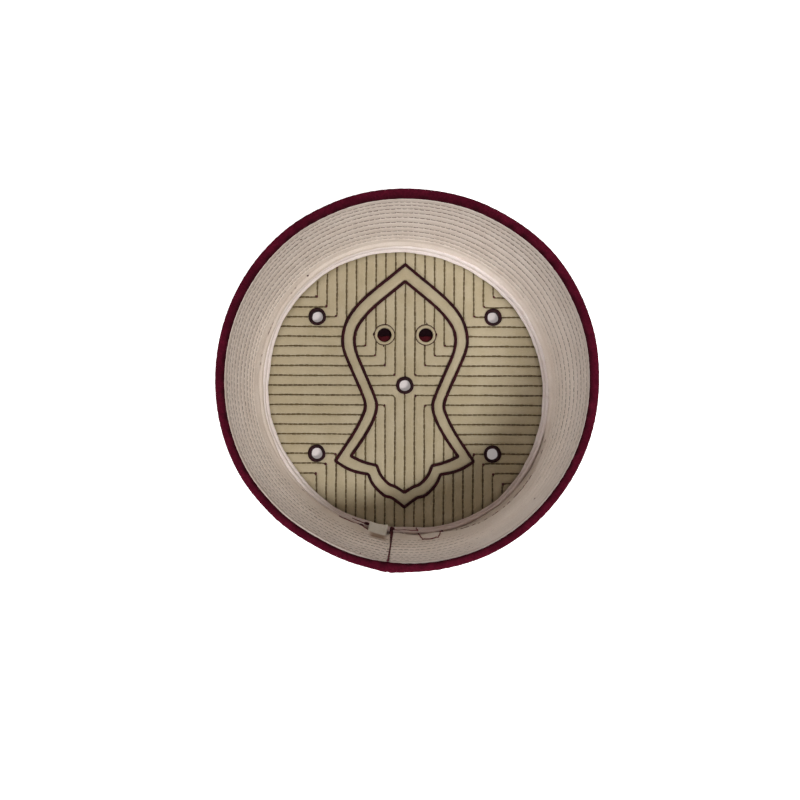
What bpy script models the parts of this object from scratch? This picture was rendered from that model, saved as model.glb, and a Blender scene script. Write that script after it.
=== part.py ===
# Stiff round cap of maroon cloth, the base that a turban is wound on.
# It lies on its crown with the head opening facing +Z: the crown's outer face is at z = 0,
# the back seam is on the -Y side, and the origin is under the middle of its outline.
# All lengths are in metres.

from collections import namedtuple
from math import atan2, cos, degrees, exp, hypot, pi, radians, sin

import bmesh
import bpy
from mathutils import Matrix, Vector

MM = 0.001

# Driving dimensions of the cap
CAP_HEIGHT = 84 * MM
RIM_RADIUS = 95 * MM
WALL_TAPER = 5.2 * MM           # how much smaller the wall's radius is at the crown
TAPER_TOP_DEPTH = 4 * MM        # depths below the rim between which the wall draws in
TAPER_END_DEPTH = 80 * MM
BAND_THICKNESS = 3.1 * MM       # maroon cloth with the stiff band inside it
LINING_THICKNESS = 1.0 * MM
GAP = 0.3 * MM                  # between neighbouring pieces
AXIS_OFFSET = (0.17 * MM, 0.57 * MM)    # the rim's axis from the middle of the outline
CROWN_DRIFT = (-0.8 * MM, -0.4 * MM)    # the crown's centre from the rim's axis
FOOT_ROUNDING = 0.6 * MM
WALL_SECTIONS = 7               # heights at which the wall's radius is set
ROUND_STEPS = 50

# Rim, where the outer cloth is turned in over the lining's edge
LIP_WIDTH = 4.1 * MM
LIP_HEIGHT = 2.5 * MM
LIP_ROUNDING = 1.5 * MM
LIP_ROUNDING_STEPS = 3

# Side lining and its quilting rows
ROW_COUNT = 10
ROW_PITCH = 5.8 * MM
FIRST_ROW_DEPTH = 6.0 * MM
RIB_PUFF = 0.35 * MM
PLAIN_SECTIONS = 4              # heights along the plain stretch under the lowest row

# Crown
CROWN_CLOTH_THICKNESS = 1.2 * MM
CROWN_EDGE_ROUNDING = 0.7 * MM
CROWN_LINING_THICKNESS = 2.2 * MM
CROWN_ROLL_RADIUS = 1.45 * MM
CROWN_ROLL_REACH = 2.45 * MM    # from the lining to the roll's centre
SIDE_ROLL_RADIUS = 1.15 * MM
ROLL_SIDES = 8

# Figure on the crown, placed from the middle of its quilting
FIGURE_CENTRE = (-1.4 * MM, 2.6 * MM)
QUILT_PITCH = 5.8 * MM
EYELET_COLUMN = 9 * QUILT_PITCH
EYELET_ROW = 7 * QUILT_PITCH
EYELET_BORE = 3.05 * MM
EYELET_SLEEVE = 4.1 * MM
EYELET_FLANGE = 5.2 * MM
EYELET_FLANGE_HEIGHT = 0.85 * MM
EYELET_SOFTNESS = 0.4 * MM      # rounding of its edges
EYELET_FOOT = 0.1 * MM          # clear of the surface the cap lies on
EYELET_STEPS = 14
CUT_OUT_RADIUS = 4.25 * MM
CUT_OUT_SIDE = 12.3 * MM
CUT_OUT_UP = 30.0 * MM
CORD_RADIUS = 0.65 * MM

# Folded tag at the crown seam, beside the back seam
TAG_WIDTH = 10.8 * MM
TAG_LENGTH = 5.4 * MM
TAG_THICKNESS = 0.8 * MM
TAG_AZIMUTH = radians(258.8)
TAG_RADIUS = 82.4 * MM
TAG_HEIGHT = 10.5 * MM
TAG_LEAN = radians(40)

# The rim isn't a true circle: how far it stands out or in, round the cap from +X towards +Y
Swell = namedtuple("Swell", "azimuth_deg swell_mm")
RIM_SWELL = (
    Swell(0, -0.35),
    Swell(16, 0.20),
    Swell(40, 0.65),
    Swell(64, -0.25),
    Swell(84, -0.70),
    Swell(113, -0.10),
    Swell(129, 0.45),
    Swell(177, -0.05),
    Swell(209, 0.35),
    Swell(225, -0.30),
    Swell(241, -1.00),
    Swell(257, -0.40),
    Swell(281, 0.10),
    Swell(296, 0.37),
    Swell(328, -0.15),
)
CROWN_SWELL_SHARE = 0.35        # part of the swell that is left at the crown
SEAM_AZIMUTH = radians(264.4)
SEAM_RIDGE = 1.1 * MM
SEAM_RIDGE_WIDTH = radians(4.5)

# Right half of each thick stitched outline, from the toe's point down to the heel's point.
# side and up are measured from the figure's centre. A corner is left sharp.
OutlinePoint = namedtuple("OutlinePoint", "side_mm up_mm corner")
OUTER_OUTLINE = (
    OutlinePoint(0.0, 71.6, True),
    OutlinePoint(8.2, 64.8, False),
    OutlinePoint(17.1, 57.6, False),
    OutlinePoint(25.1, 50.5, False),
    OutlinePoint(31.3, 43.4, False),
    OutlinePoint(35.2, 36.2, False),
    OutlinePoint(36.9, 28.5, False),
    OutlinePoint(36.2, 20.8, False),
    OutlinePoint(31.5, 9.0, False),
    OutlinePoint(26.0, -3.5, False),
    OutlinePoint(23.3, -11.9, False),
    OutlinePoint(25.2, -18.8, False),
    OutlinePoint(30.5, -29.0, False),
    OutlinePoint(41.0, -45.1, True),
    OutlinePoint(34.7, -49.1, False),
    OutlinePoint(28.9, -51.4, False),
    OutlinePoint(21.4, -52.9, True),
    OutlinePoint(18.5, -59.0, False),
    OutlinePoint(12.3, -65.2, False),
    OutlinePoint(7.2, -66.9, False),
    OutlinePoint(0.0, -72.3, True),
)
INNER_OUTLINE = (
    OutlinePoint(0.0, 61.6, True),
    OutlinePoint(7.0, 55.9, False),
    OutlinePoint(16.0, 48.5, False),
    OutlinePoint(22.8, 41.9, False),
    OutlinePoint(28.3, 34.2, False),
    OutlinePoint(30.0, 27.0, False),
    OutlinePoint(28.7, 19.0, False),
    OutlinePoint(24.2, 8.2, False),
    OutlinePoint(18.8, -4.5, False),
    OutlinePoint(16.6, -12.2, False),
    OutlinePoint(18.7, -20.8, False),
    OutlinePoint(24.2, -31.0, False),
    OutlinePoint(31.8, -42.2, True),
    OutlinePoint(24.3, -45.6, False),
    OutlinePoint(16.4, -47.7, True),
    OutlinePoint(13.9, -53.6, False),
    OutlinePoint(9.3, -58.5, False),
    OutlinePoint(5.0, -60.4, False),
    OutlinePoint(0.0, -63.6, True),
)
OUTLINE_STEP = 5.5 * MM         # longest straight run along a cord

# Colours as linear RGB, and roughness
Cloth = namedtuple("Cloth", "red green blue roughness")
CLOTHS = {
    "maroon_cloth": Cloth(0.066, 0.006, 0.016, 0.92),
    "side_lining_cloth": Cloth(0.52, 0.45, 0.41, 0.88),
    "crown_lining_cloth": Cloth(0.42, 0.36, 0.24, 0.90),
    "seam_roll_cloth": Cloth(0.66, 0.60, 0.58, 0.85),
    "outline_thread": Cloth(0.035, 0.009, 0.012, 0.70),
    "tag_cloth": Cloth(0.60, 0.58, 0.54, 0.80),
}

# Heights that follow from the driving dimensions
CROWN_LINING_BASE = CROWN_CLOTH_THICKNESS + GAP
CROWN_LINING_TOP = CROWN_LINING_BASE + CROWN_LINING_THICKNESS
WALL_BASE = CROWN_CLOTH_THICKNESS + GAP
LIP_UNDERSIDE = CAP_HEIGHT - LIP_HEIGHT
LINING_TOP = LIP_UNDERSIDE - GAP
ON_CROWN_LINING = CROWN_LINING_TOP + GAP


def smooth_step(low, high, value):
    share = min(max((value - low) / (high - low), 0.0), 1.0)
    return share * share * (3 - 2 * share)


def outer_radius(height):
    drawn_in = smooth_step(TAPER_TOP_DEPTH, TAPER_END_DEPTH, CAP_HEIGHT - height)
    return RIM_RADIUS - WALL_TAPER * drawn_in


def band_inner_radius(height):
    return outer_radius(height) - BAND_THICKNESS


def lining_outer_radius(height):
    return band_inner_radius(height) - GAP


def lining_inner_radius(height):
    return lining_outer_radius(height) - LINING_THICKNESS


def swell_at(azimuth):
    """How far the rim stands out at an azimuth, eased between the table's rows."""
    angle = degrees(azimuth) % 360
    rows = RIM_SWELL + (Swell(RIM_SWELL[0].azimuth_deg + 360, RIM_SWELL[0].swell_mm),)
    for here, after in zip(rows, rows[1:]):
        if here.azimuth_deg <= angle <= after.azimuth_deg:
            share = smooth_step(here.azimuth_deg, after.azimuth_deg, angle)
            swell = here.swell_mm + (after.swell_mm - here.swell_mm) * share
            break
    from_seam = (azimuth - SEAM_AZIMUTH + pi) % (2 * pi) - pi
    ridge = SEAM_RIDGE * exp(-abs(from_seam / SEAM_RIDGE_WIDTH) ** 1.5)
    return swell * MM + ridge


def out_of_round(point):
    """Move a point of the true round cap to where it lies on the real, slightly uneven one."""
    share_up = point.z / CAP_HEIGHT
    radius = hypot(point.x, point.y)
    swell = swell_at(atan2(point.y, point.x)) * (CROWN_SWELL_SHARE + (1 - CROWN_SWELL_SHARE) * share_up)
    scale = 1 + swell / outer_radius(point.z)
    if radius == 0:
        scale = 1
    drift_x, drift_y = (drift * (1 - share_up) for drift in CROWN_DRIFT)
    return Vector((point.x * scale + drift_x, point.y * scale + drift_y, point.z))


def wall_heights(low, high, count):
    return [low + (high - low) * index / (count - 1) for index in range(count)]


def cloth_material(name):
    cloth = CLOTHS[name]
    material = bpy.data.materials.new(name)
    material.use_nodes = True
    shader = material.node_tree.nodes["Principled BSDF"]
    shader.inputs["Base Color"].default_value = (cloth.red, cloth.green, cloth.blue, 1)
    shader.inputs["Roughness"].default_value = cloth.roughness
    shader.inputs["Metallic"].default_value = 0
    return material


def add_object(name, mesh, collection):
    item = bpy.data.objects.new(name, mesh)
    collection.objects.link(item)
    return item


def evaluated_mesh(item):
    """The object's mesh with its modifiers applied. The object itself is removed."""
    graph = bpy.context.evaluated_depsgraph_get()
    mesh = bpy.data.meshes.new_from_object(item.evaluated_get(graph))
    bpy.data.objects.remove(item)
    return mesh


def turned_mesh(name, profile, steps, collection):
    """Turn a closed profile of (radius, height) points about Z."""
    outline = bpy.data.meshes.new(name)
    edges = [(index, (index + 1) % len(profile)) for index in range(len(profile))]
    outline.from_pydata([(radius, 0, height) for radius, height in profile], edges, [])
    item = add_object(name + "_profile", outline, collection)
    screw = item.modifiers.new("turn", "SCREW")
    screw.steps = steps
    screw.render_steps = steps
    screw.use_merge_vertices = True
    screw.merge_threshold = 0.01 * MM
    return evaluated_mesh(item)


def shaded(item, material, sharp_angle):
    item.data.materials.clear()
    item.data.materials.append(material)
    item.data.shade_smooth()
    item.data.set_sharp_from_angle(angle=sharp_angle)
    return item


def pressed(mesh):
    for vertex in mesh.vertices:
        vertex.co = out_of_round(vertex.co)
    return mesh


def wall_piece(name, profile, material, collection):
    mesh = pressed(turned_mesh(name, profile, ROUND_STEPS, collection))
    return shaded(add_object(name, mesh, collection), material, radians(50))


def side_cloth_profile():
    """Down the outer side, across the foot, up the inner side and round the turned-in lip."""
    heights = wall_heights(WALL_BASE, LIP_UNDERSIDE, WALL_SECTIONS)
    outer = [(outer_radius(height), height) for height in reversed(heights[1:])]
    outer.append((outer_radius(WALL_BASE), WALL_BASE + FOOT_ROUNDING))
    outer.append((outer_radius(WALL_BASE) - FOOT_ROUNDING, WALL_BASE))
    inner = [(band_inner_radius(height), height) for height in heights]
    lip = [(RIM_RADIUS - LIP_WIDTH, LIP_UNDERSIDE)]
    centre_height = CAP_HEIGHT - LIP_ROUNDING
    for centre_radius, first, last in (
        (RIM_RADIUS - LIP_WIDTH + LIP_ROUNDING, 180, 90),
        (RIM_RADIUS - LIP_ROUNDING, 90, 0),
    ):
        for step in range(LIP_ROUNDING_STEPS + 1):
            angle = radians(first + (last - first) * step / LIP_ROUNDING_STEPS)
            lip.append((
                centre_radius + LIP_ROUNDING * cos(angle),
                centre_height + LIP_ROUNDING * sin(angle),
            ))
    return outer + inner + lip


def side_lining_profile():
    """Down the back of the lining, then up its face, over the ribs between the quilting rows."""
    heights = wall_heights(WALL_BASE, LIP_UNDERSIDE, WALL_SECTIONS)
    back = [(lining_outer_radius(LINING_TOP), LINING_TOP)]
    back += [(lining_outer_radius(height), height) for height in reversed(heights[:-1])]
    rows = [CAP_HEIGHT - FIRST_ROW_DEPTH - ROW_PITCH * index for index in range(ROW_COUNT)]
    plain = wall_heights(WALL_BASE, rows[-1], PLAIN_SECTIONS)[:-1]
    face = [(lining_inner_radius(height), height) for height in plain]
    for height in reversed(rows):
        face.append((lining_inner_radius(height), height))
        crest = min(height + ROW_PITCH / 2, LINING_TOP)
        face.append((lining_inner_radius(crest) - RIB_PUFF, crest))
    face[-1] = (lining_inner_radius(LINING_TOP), LINING_TOP)
    return back + face


def roll_profile(centre_radius, centre_height, radius):
    points = []
    for side in range(ROLL_SIDES):
        angle = pi * (1 - 2 * side) / ROLL_SIDES
        points.append((
            centre_radius + radius * cos(angle),
            centre_height + radius * sin(angle),
        ))
    return points


def hole_cutter(name, centres, radius, collection):
    mesh = bpy.data.meshes.new(name)
    build = bmesh.new()
    for side, up in centres:
        bmesh.ops.create_cone(
            build, cap_ends=True, segments=24, radius1=radius, radius2=radius, depth=20 * MM,
            matrix=Matrix.Translation((side, up, 0)),
        )
    build.to_mesh(mesh)
    build.free()
    cutter = add_object(name, mesh, collection)
    cutter.hide_render = True
    cutter.display_type = "WIRE"
    return cutter


def crown_disc(name, radius, low, high, rounding, material, cutters, collection):
    """A flat round panel, with its lower edge rounded, cut by each cutter."""
    mesh = bpy.data.meshes.new(name)
    build = bmesh.new()
    bmesh.ops.create_cone(
        build, cap_ends=True, segments=ROUND_STEPS, radius1=radius, radius2=radius, depth=high - low,
        matrix=Matrix.Translation((0, 0, (high + low) / 2)),
    )
    if rounding:
        foot = [edge for edge in build.edges if all(vertex.co.z < low + GAP for vertex in edge.verts)]
        bmesh.ops.bevel(build, geom=foot, offset=rounding, segments=2, profile=0.5, affect="EDGES")
    build.to_mesh(mesh)
    build.free()
    disc = add_object(name + "_blank", pressed(mesh), collection)
    for cutter in cutters:
        cut = disc.modifiers.new(cutter.name, "BOOLEAN")
        cut.object = cutter
        cut.operation = "DIFFERENCE"
        cut.solver = "EXACT"
    return shaded(add_object(name, evaluated_mesh(disc), collection), material, radians(50))


def eyelet_profile():
    """A sleeve through both crown layers, with a rounded flange on the lining."""
    top = ON_CROWN_LINING + EYELET_FLANGE_HEIGHT
    soft = EYELET_SOFTNESS
    return [
        (EYELET_FLANGE - soft, top),
        (EYELET_FLANGE, top - soft),
        (EYELET_FLANGE, ON_CROWN_LINING),
        (EYELET_SLEEVE, ON_CROWN_LINING),
        (EYELET_SLEEVE, EYELET_FOOT),
        (EYELET_BORE + soft / 2, EYELET_FOOT),
        (EYELET_BORE, EYELET_FOOT + soft),
        (EYELET_BORE, top - soft),
        (EYELET_BORE + soft, top),
    ]


def smooth_run(points):
    """Catmull-Rom curve through the points of one run between two corners."""
    padded = [2 * points[0] - points[1]] + points + [2 * points[-1] - points[-2]]
    curve = [points[0]]
    for before, start, end, after in zip(padded, padded[1:], padded[2:], padded[3:]):
        steps = max(1, round((end - start).length / OUTLINE_STEP))
        for step in range(1, steps + 1):
            t = step / steps
            curve.append(0.5 * (
                2 * start + (end - before) * t
                + (2 * before - 5 * start + 4 * end - after) * t ** 2
                + (3 * start - before - 3 * end + after) * t ** 3
            ))
    return curve


def figure_outline(table):
    """The whole closed outline, from its right half."""
    runs = []
    for row in table:
        point = Vector((row.side_mm * MM, row.up_mm * MM))
        if runs:
            runs[-1].append(point)
        if row.corner:
            runs.append([point])
    half = [runs[0][0]]
    for run in runs[:-1]:
        half += smooth_run(run)[1:]
    mirrored = [Vector((-point.x, point.y)) for point in reversed(half[1:-1])]
    return half + mirrored


def outline_cord(name, table, material, collection):
    curve = bpy.data.curves.new(name, "CURVE")
    curve.dimensions = "3D"
    curve.bevel_depth = CORD_RADIUS
    curve.bevel_resolution = 1
    points = figure_outline(table)
    spline = curve.splines.new("POLY")
    spline.points.add(len(points) - 1)
    height = ON_CROWN_LINING + CORD_RADIUS
    for place, point in zip(spline.points, points):
        place.co = (FIGURE_CENTRE[0] + point.x, FIGURE_CENTRE[1] + point.y, height, 1)
    spline.use_cyclic_u = True
    curve.materials.append(material)
    return add_object(name, curve, collection)


def folded_tag(name, material, collection):
    mesh = bpy.data.meshes.new(name)
    build = bmesh.new()
    bmesh.ops.create_cube(build, size=1)
    bmesh.ops.scale(build, vec=(TAG_WIDTH, TAG_LENGTH, TAG_THICKNESS), verts=build.verts)
    build.to_mesh(mesh)
    build.free()
    tag = add_object(name, mesh, collection)
    outward = Vector((cos(TAG_AZIMUTH), sin(TAG_AZIMUTH), 0))
    tag.location = out_of_round(outward * TAG_RADIUS + Vector((0, 0, TAG_HEIGHT)))
    tag.rotation_euler = (TAG_LEAN, 0, TAG_AZIMUTH - pi / 2)
    rounding = tag.modifiers.new("soft_edges", "BEVEL")
    rounding.width = 0.2 * MM
    rounding.segments = 1
    return shaded(tag, material, radians(60))


def eyelet_centres():
    side, up = FIGURE_CENTRE
    centres = [(side, up)]
    for across in (-EYELET_COLUMN, EYELET_COLUMN):
        for along in (-EYELET_ROW, EYELET_ROW):
            centres.append((side + across, up + along))
    return centres


def cut_out_centres():
    side, up = FIGURE_CENTRE
    return [(side + across, up + CUT_OUT_UP) for across in (-CUT_OUT_SIDE, CUT_OUT_SIDE)]


def build_walls(materials, parts):
    wall_piece("side_cloth", side_cloth_profile(), materials["maroon_cloth"], parts)
    wall_piece("side_lining", side_lining_profile(), materials["side_lining_cloth"], parts)


def build_seam_rolls(materials, parts):
    lining = lining_inner_radius(CROWN_LINING_TOP)
    crown_centre = lining - CROWN_ROLL_REACH
    crown_height = ON_CROWN_LINING + CROWN_ROLL_RADIUS
    side_centre = lining - GAP - SIDE_ROLL_RADIUS
    apart = CROWN_ROLL_RADIUS + SIDE_ROLL_RADIUS + GAP
    side_height = crown_height + (apart ** 2 - (side_centre - crown_centre) ** 2) ** 0.5
    for name, centre, height, radius in (
        ("crown_seam_roll", crown_centre, crown_height, CROWN_ROLL_RADIUS),
        ("side_seam_roll", side_centre, side_height, SIDE_ROLL_RADIUS),
    ):
        profile = roll_profile(centre, height, radius)
        wall_piece(name, profile, materials["seam_roll_cloth"], parts)


def build_crown(materials, parts, cutters):
    eyelet_holes = hole_cutter("eyelet_holes", eyelet_centres(), EYELET_SLEEVE + GAP, cutters)
    cut_outs = hole_cutter("cut_outs", cut_out_centres(), CUT_OUT_RADIUS, cutters)
    crown_disc(
        "crown_cloth", outer_radius(0) - GAP, 0, CROWN_CLOTH_THICKNESS, CROWN_EDGE_ROUNDING,
        materials["maroon_cloth"], [eyelet_holes], parts,
    )
    crown_disc(
        "crown_lining", lining_inner_radius(CROWN_LINING_BASE) - GAP, CROWN_LINING_BASE, CROWN_LINING_TOP, 0,
        materials["crown_lining_cloth"], [eyelet_holes, cut_outs], parts,
    )


def build_figure(materials, parts):
    thread = materials["outline_thread"]
    eyelet_mesh = turned_mesh("eyelet", eyelet_profile(), EYELET_STEPS, parts)
    for number, (side, up) in enumerate(eyelet_centres(), start=1):
        eyelet = add_object(f"eyelet_{number}", eyelet_mesh, parts)
        eyelet.location = (side, up, 0)
        shaded(eyelet, thread, radians(50))
    outline_cord("sandal_outline_outer", OUTER_OUTLINE, thread, parts)
    outline_cord("sandal_outline_inner", INNER_OUTLINE, thread, parts)


def main():
    for item in list(bpy.data.objects):
        bpy.data.objects.remove(item)
    parts = bpy.data.collections.new("turban_cap")
    cutters = bpy.data.collections.new("cutters")
    for collection in (parts, cutters):
        bpy.context.scene.collection.children.link(collection)
    materials = {name: cloth_material(name) for name in CLOTHS}
    build_walls(materials, parts)
    build_crown(materials, parts, cutters)
    build_seam_rolls(materials, parts)
    build_figure(materials, parts)
    folded_tag("size_tag", materials["tag_cloth"], parts)
    axis = add_object("cap_axis", None, parts)
    axis.location = (*AXIS_OFFSET, 0)
    for item in list(parts.objects) + list(cutters.objects):
        if item is not axis:
            item.parent = axis


main()
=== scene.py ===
# Looks for the stiff quilted cap of a turban, resting on its crown with its opening up.
# Shapes are worked out in millimetres and turned into metres as each mesh is made.
import math

import bmesh
import bpy
import numpy as np
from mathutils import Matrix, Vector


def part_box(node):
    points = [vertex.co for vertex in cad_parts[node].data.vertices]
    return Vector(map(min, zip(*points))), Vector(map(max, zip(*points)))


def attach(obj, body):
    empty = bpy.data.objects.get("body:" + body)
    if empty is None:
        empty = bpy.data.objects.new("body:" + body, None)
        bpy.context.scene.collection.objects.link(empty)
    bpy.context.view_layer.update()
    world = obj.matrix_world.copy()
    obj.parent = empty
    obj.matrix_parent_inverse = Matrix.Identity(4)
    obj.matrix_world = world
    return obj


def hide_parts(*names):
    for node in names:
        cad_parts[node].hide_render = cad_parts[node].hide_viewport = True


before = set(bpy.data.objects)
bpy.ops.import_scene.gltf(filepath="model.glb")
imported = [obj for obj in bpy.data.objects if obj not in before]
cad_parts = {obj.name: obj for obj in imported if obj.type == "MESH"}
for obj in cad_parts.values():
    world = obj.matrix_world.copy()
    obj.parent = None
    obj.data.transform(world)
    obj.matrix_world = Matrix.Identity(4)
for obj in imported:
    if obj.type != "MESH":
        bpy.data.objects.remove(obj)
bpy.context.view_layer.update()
print("frame loaded")

cap = {
    "height": 84.0,
    "rimRadius": 95.0,
    "taper": 5.2,               # how much smaller the wall's radius is at the crown
    "taperDepths": (4.0, 80.0),
    "axis": (0.17, 0.57),
    "crownDrift": (-0.8, -0.4),
    "oval": 1.5,                # the crown is pulled a little oval, longest towards ovalTowards
    "ovalTowards": 130,
    "swellAtCrown": 0.35,
    "foot": 1.5,                # where the wall and its lining start
    "band": 3.1,                # maroon cloth with its stiff band
    "liningBack": 3.4,          # measured inward from the wall's outer face
    "liningFace": 4.4,
    "seam": 264.4,              # azimuth of the back seam, degrees
    "seamRise": 1.1,
    "seamWidth": 4.5,
    "tagAt": 258.8,
}

# azimuth in degrees, swell of the rim in mm
swells = [
    (0, -0.35), (16, 0.20), (40, 0.65), (64, -0.25), (84, -0.70),
    (113, -0.10), (129, 0.45), (177, -0.05), (209, 0.35), (225, -0.30),
    (241, -1.00), (257, -0.40), (281, 0.10), (296, 0.37), (328, -0.15),
]


def easeStep(low, high, value):
    share = np.clip((value - low) / (high - low), 0, 1)
    return share * share * (3 - 2 * share)


def hump(off, width, power=2):
    # 1 in the middle, falling away smoothly on both sides
    return np.exp(-(off / width) ** power)


def outerRadius(z):
    return cap["rimRadius"] - cap["taper"] * easeStep(*cap["taperDepths"], cap["height"] - z)


def turnFrom(azimuth, centre):
    return (azimuth - centre + 180) % 360 - 180


def humpAt(azimuth, centre, width, power=2):
    return hump(np.abs(turnFrom(azimuth, centre)), width, power)


def seamSwell(azimuth):
    # the wall stands out where the edges of the back seam overlap
    return cap["seamRise"] * humpAt(azimuth, cap["seam"], cap["seamWidth"], 1.5)


def swellAt(azimuth):
    azimuth = np.asarray(azimuth, float) % 360
    table = swells + [(swells[0][0] + 360, swells[0][1])]
    swell = np.zeros_like(azimuth)
    for (here, low), (after, high) in zip(table, table[1:]):
        inSpan = (azimuth >= here) & (azimuth < after)
        swell = np.where(inSpan, low + (high - low) * easeStep(here, after, azimuth), swell)
    return swell + seamSwell(azimuth)


def ovalAt(azimuth):
    return cap["oval"] * np.cos(2 * np.radians(np.asarray(azimuth, float) - cap["ovalTowards"]))


def wallPoint(azimuth, z, inward):
    # a point of the wall, at a depth inward of its outer face
    azimuth, z, inward = np.broadcast_arrays(*(np.asarray(v, float) for v in (azimuth, z, inward)))
    up = z / cap["height"]
    swell = swellAt(azimuth) * (cap["swellAtCrown"] + (1 - cap["swellAtCrown"]) * up)
    radius = (outerRadius(z) - inward) * (1 + swell / outerRadius(z)) + ovalAt(azimuth) * (1 - up)
    turn = np.radians(azimuth)
    x = cap["axis"][0] + cap["crownDrift"][0] * (1 - up) + radius * np.cos(turn)
    y = cap["axis"][1] + cap["crownDrift"][1] * (1 - up) + radius * np.sin(turn)
    return np.stack([x, y, z], -1)


def ripple(turn, seed, low, high, count=6):
    # a smooth unevenness that closes on itself round the cap, about -1 to 1
    chance = np.random.default_rng(seed)
    total = 0
    for _ in range(count):
        waves = chance.integers(low, high + 1)
        total = total + chance.uniform(0.5, 1) * np.sin(waves * turn + chance.uniform(0, 2 * math.pi))
    return total / math.sqrt(count) * 1.1


def inwardWay(turn, rise=0.0):
    # a direction in towards the cap's axis, rising a little
    return np.column_stack([-np.cos(turn), -np.sin(turn), rise + 0 * turn])


def tone(*screen):
    # a linear colour from screen values of 0 to 255
    shares = [value / 255 for value in screen]
    linear = [share / 12.92 if share < 0.04 else ((share + 0.055) / 1.055) ** 2.4 for share in shares]
    return (*linear, 1)


# meshes

upright = np.array([0.0, 0, 1])


def gridFaces(index):
    return np.stack([index[:-1, :-1], index[:-1, 1:], index[1:, 1:], index[1:, :-1]], -1).reshape(-1, 4)


def ringFaces(rows, around, closedAlong=False):
    # quads over rows of points, each row closed round
    index = np.arange(rows * around).reshape(rows, around)
    index = np.concatenate([index, index[:, :1]], 1)
    if closedAlong:
        index = np.concatenate([index, index[:1]], 0)
    return gridFaces(index)


def addPiece(name, points, faces, look, slotName, replaced=(), sharpAngle=None, marks=None):
    mesh = bpy.data.meshes.new(name)
    rows = [row for block in faces for row in np.asarray(block).tolist()]
    mesh.from_pydata((np.asarray(points).reshape(-1, 3) * 0.001).tolist(), [], rows)
    for mark, values in (marks or {}).items():
        layer = mesh.attributes.new(mark, "FLOAT", "POINT")
        layer.data.foreach_set("value", np.asarray(values, np.float32).ravel())
    build = bmesh.new()
    build.from_mesh(mesh)
    bmesh.ops.recalc_face_normals(build, faces=build.faces)
    build.to_mesh(mesh)
    build.free()
    mesh.shade_smooth()
    if sharpAngle:
        mesh.set_sharp_from_angle(angle=math.radians(sharpAngle))
    mesh.materials.append(look)
    piece = bpy.data.objects.new(name, mesh)
    bpy.context.scene.collection.objects.link(piece)
    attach(piece, "root")
    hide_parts(*replaced)
    print(name, sum(len(row) - 2 for row in rows), "triangles")
    return piece


def tubes(paths, ups, radii, sides=6, closed=False):
    # round tubes along many paths of equally many points:
    # paths and ups are (tube, point, 3), radii (tube, point)
    paths, ups = np.broadcast_arrays(np.asarray(paths, float), np.asarray(ups, float))
    radii = np.broadcast_to(np.asarray(radii, float), paths.shape[:2])
    if closed:
        along = np.roll(paths, -1, 1) - np.roll(paths, 1, 1)
    else:
        along = np.gradient(paths, axis=1)
    across = np.cross(along, ups)
    across /= np.linalg.norm(across, axis=-1, keepdims=True) + 1e-12
    lift = np.cross(across, along)
    lift /= np.linalg.norm(lift, axis=-1, keepdims=True) + 1e-12
    angle = np.arange(sides) * 2 * math.pi / sides
    spoke = across[:, :, None] * np.cos(angle)[:, None] + lift[:, :, None] * np.sin(angle)[:, None]
    points = paths[:, :, None] + spoke * radii[:, :, None, None]
    count, rows = paths.shape[:2]
    quads = ringFaces(rows, sides, closed)
    start = np.arange(count)[:, None, None] * rows * sides
    blocks = [(quads[None] + start).reshape(-1, 4)]
    if not closed:
        ends = np.stack([np.arange(sides), (rows - 1) * sides + np.arange(sides)])
        blocks.append((ends[None] + start).reshape(-1, sides))
    return points.reshape(-1, 3), blocks


def joined(parts):
    # several (points, face blocks) as one
    points, blocks, start = [], [], 0
    for some, faces in parts:
        points.append(np.asarray(some).reshape(-1, 3))
        blocks += [np.asarray(block) + start for block in faces]
        start += len(points[-1])
    return np.concatenate(points), blocks


def dashes(middles, alongs, ups, length, radius, arch, stations=5, sides=6):
    # short stitches: each bows up off the cloth and dives into it at both ends
    share = np.linspace(-1, 1, stations)[None, :, None]
    length, radius, arch = (np.broadcast_to(np.asarray(v, float), len(middles))[:, None, None]
                            for v in (length, radius, arch))
    bow = arch * (1 - np.abs(share) ** 2.5)
    paths = middles[:, None] + alongs[:, None] * share * length / 2 + ups[:, None] * bow
    thickness = radius[..., 0] * (1 - 0.45 * np.abs(share[..., 0]) ** 3)
    return tubes(paths, np.broadcast_to(ups[:, None], paths.shape), thickness, sides)


def smoothRun(points, step):
    # Catmull-Rom curve through the points of one run between two corners
    padded = [2 * points[0] - points[1]] + points + [2 * points[-1] - points[-2]]
    curve = [points[0]]
    for before, start, end, after in zip(padded, padded[1:], padded[2:], padded[3:]):
        steps = max(1, round(np.linalg.norm(end - start) / step))
        for index in range(1, steps + 1):
            t = index / steps
            curve.append(0.5 * (
                2 * start + (end - before) * t
                + (2 * before - 5 * start + 4 * end - after) * t ** 2
                + (3 * start - before - 3 * end + after) * t ** 3
            ))
    return curve


def evenly(path, step, closed=False):
    # the same path with its points an equal way apart
    path = np.asarray(path, float)
    if closed:
        path = np.concatenate([path, path[:1]])
    done = np.concatenate([[0], np.cumsum(np.linalg.norm(np.diff(path, axis=0), axis=1))])
    count = max(2, round(done[-1] / step))
    wanted = np.linspace(0, done[-1], count + 1)
    if closed:
        wanted = wanted[:-1]
    return np.stack([np.interp(wanted, done, path[:, axis]) for axis in range(path.shape[1])], -1)


# looks

weaveRadius = 0.09      # where a cloth's weave runs round the cap, its usual radius in metres


def newNode(tree, kind, **settings):
    made = tree.nodes.new("ShaderNode" + kind)
    for name, value in settings.items():
        if hasattr(made, name):
            setattr(made, name, value)
        else:
            made.inputs[name.replace("_", " ")].default_value = value
    return made


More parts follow.
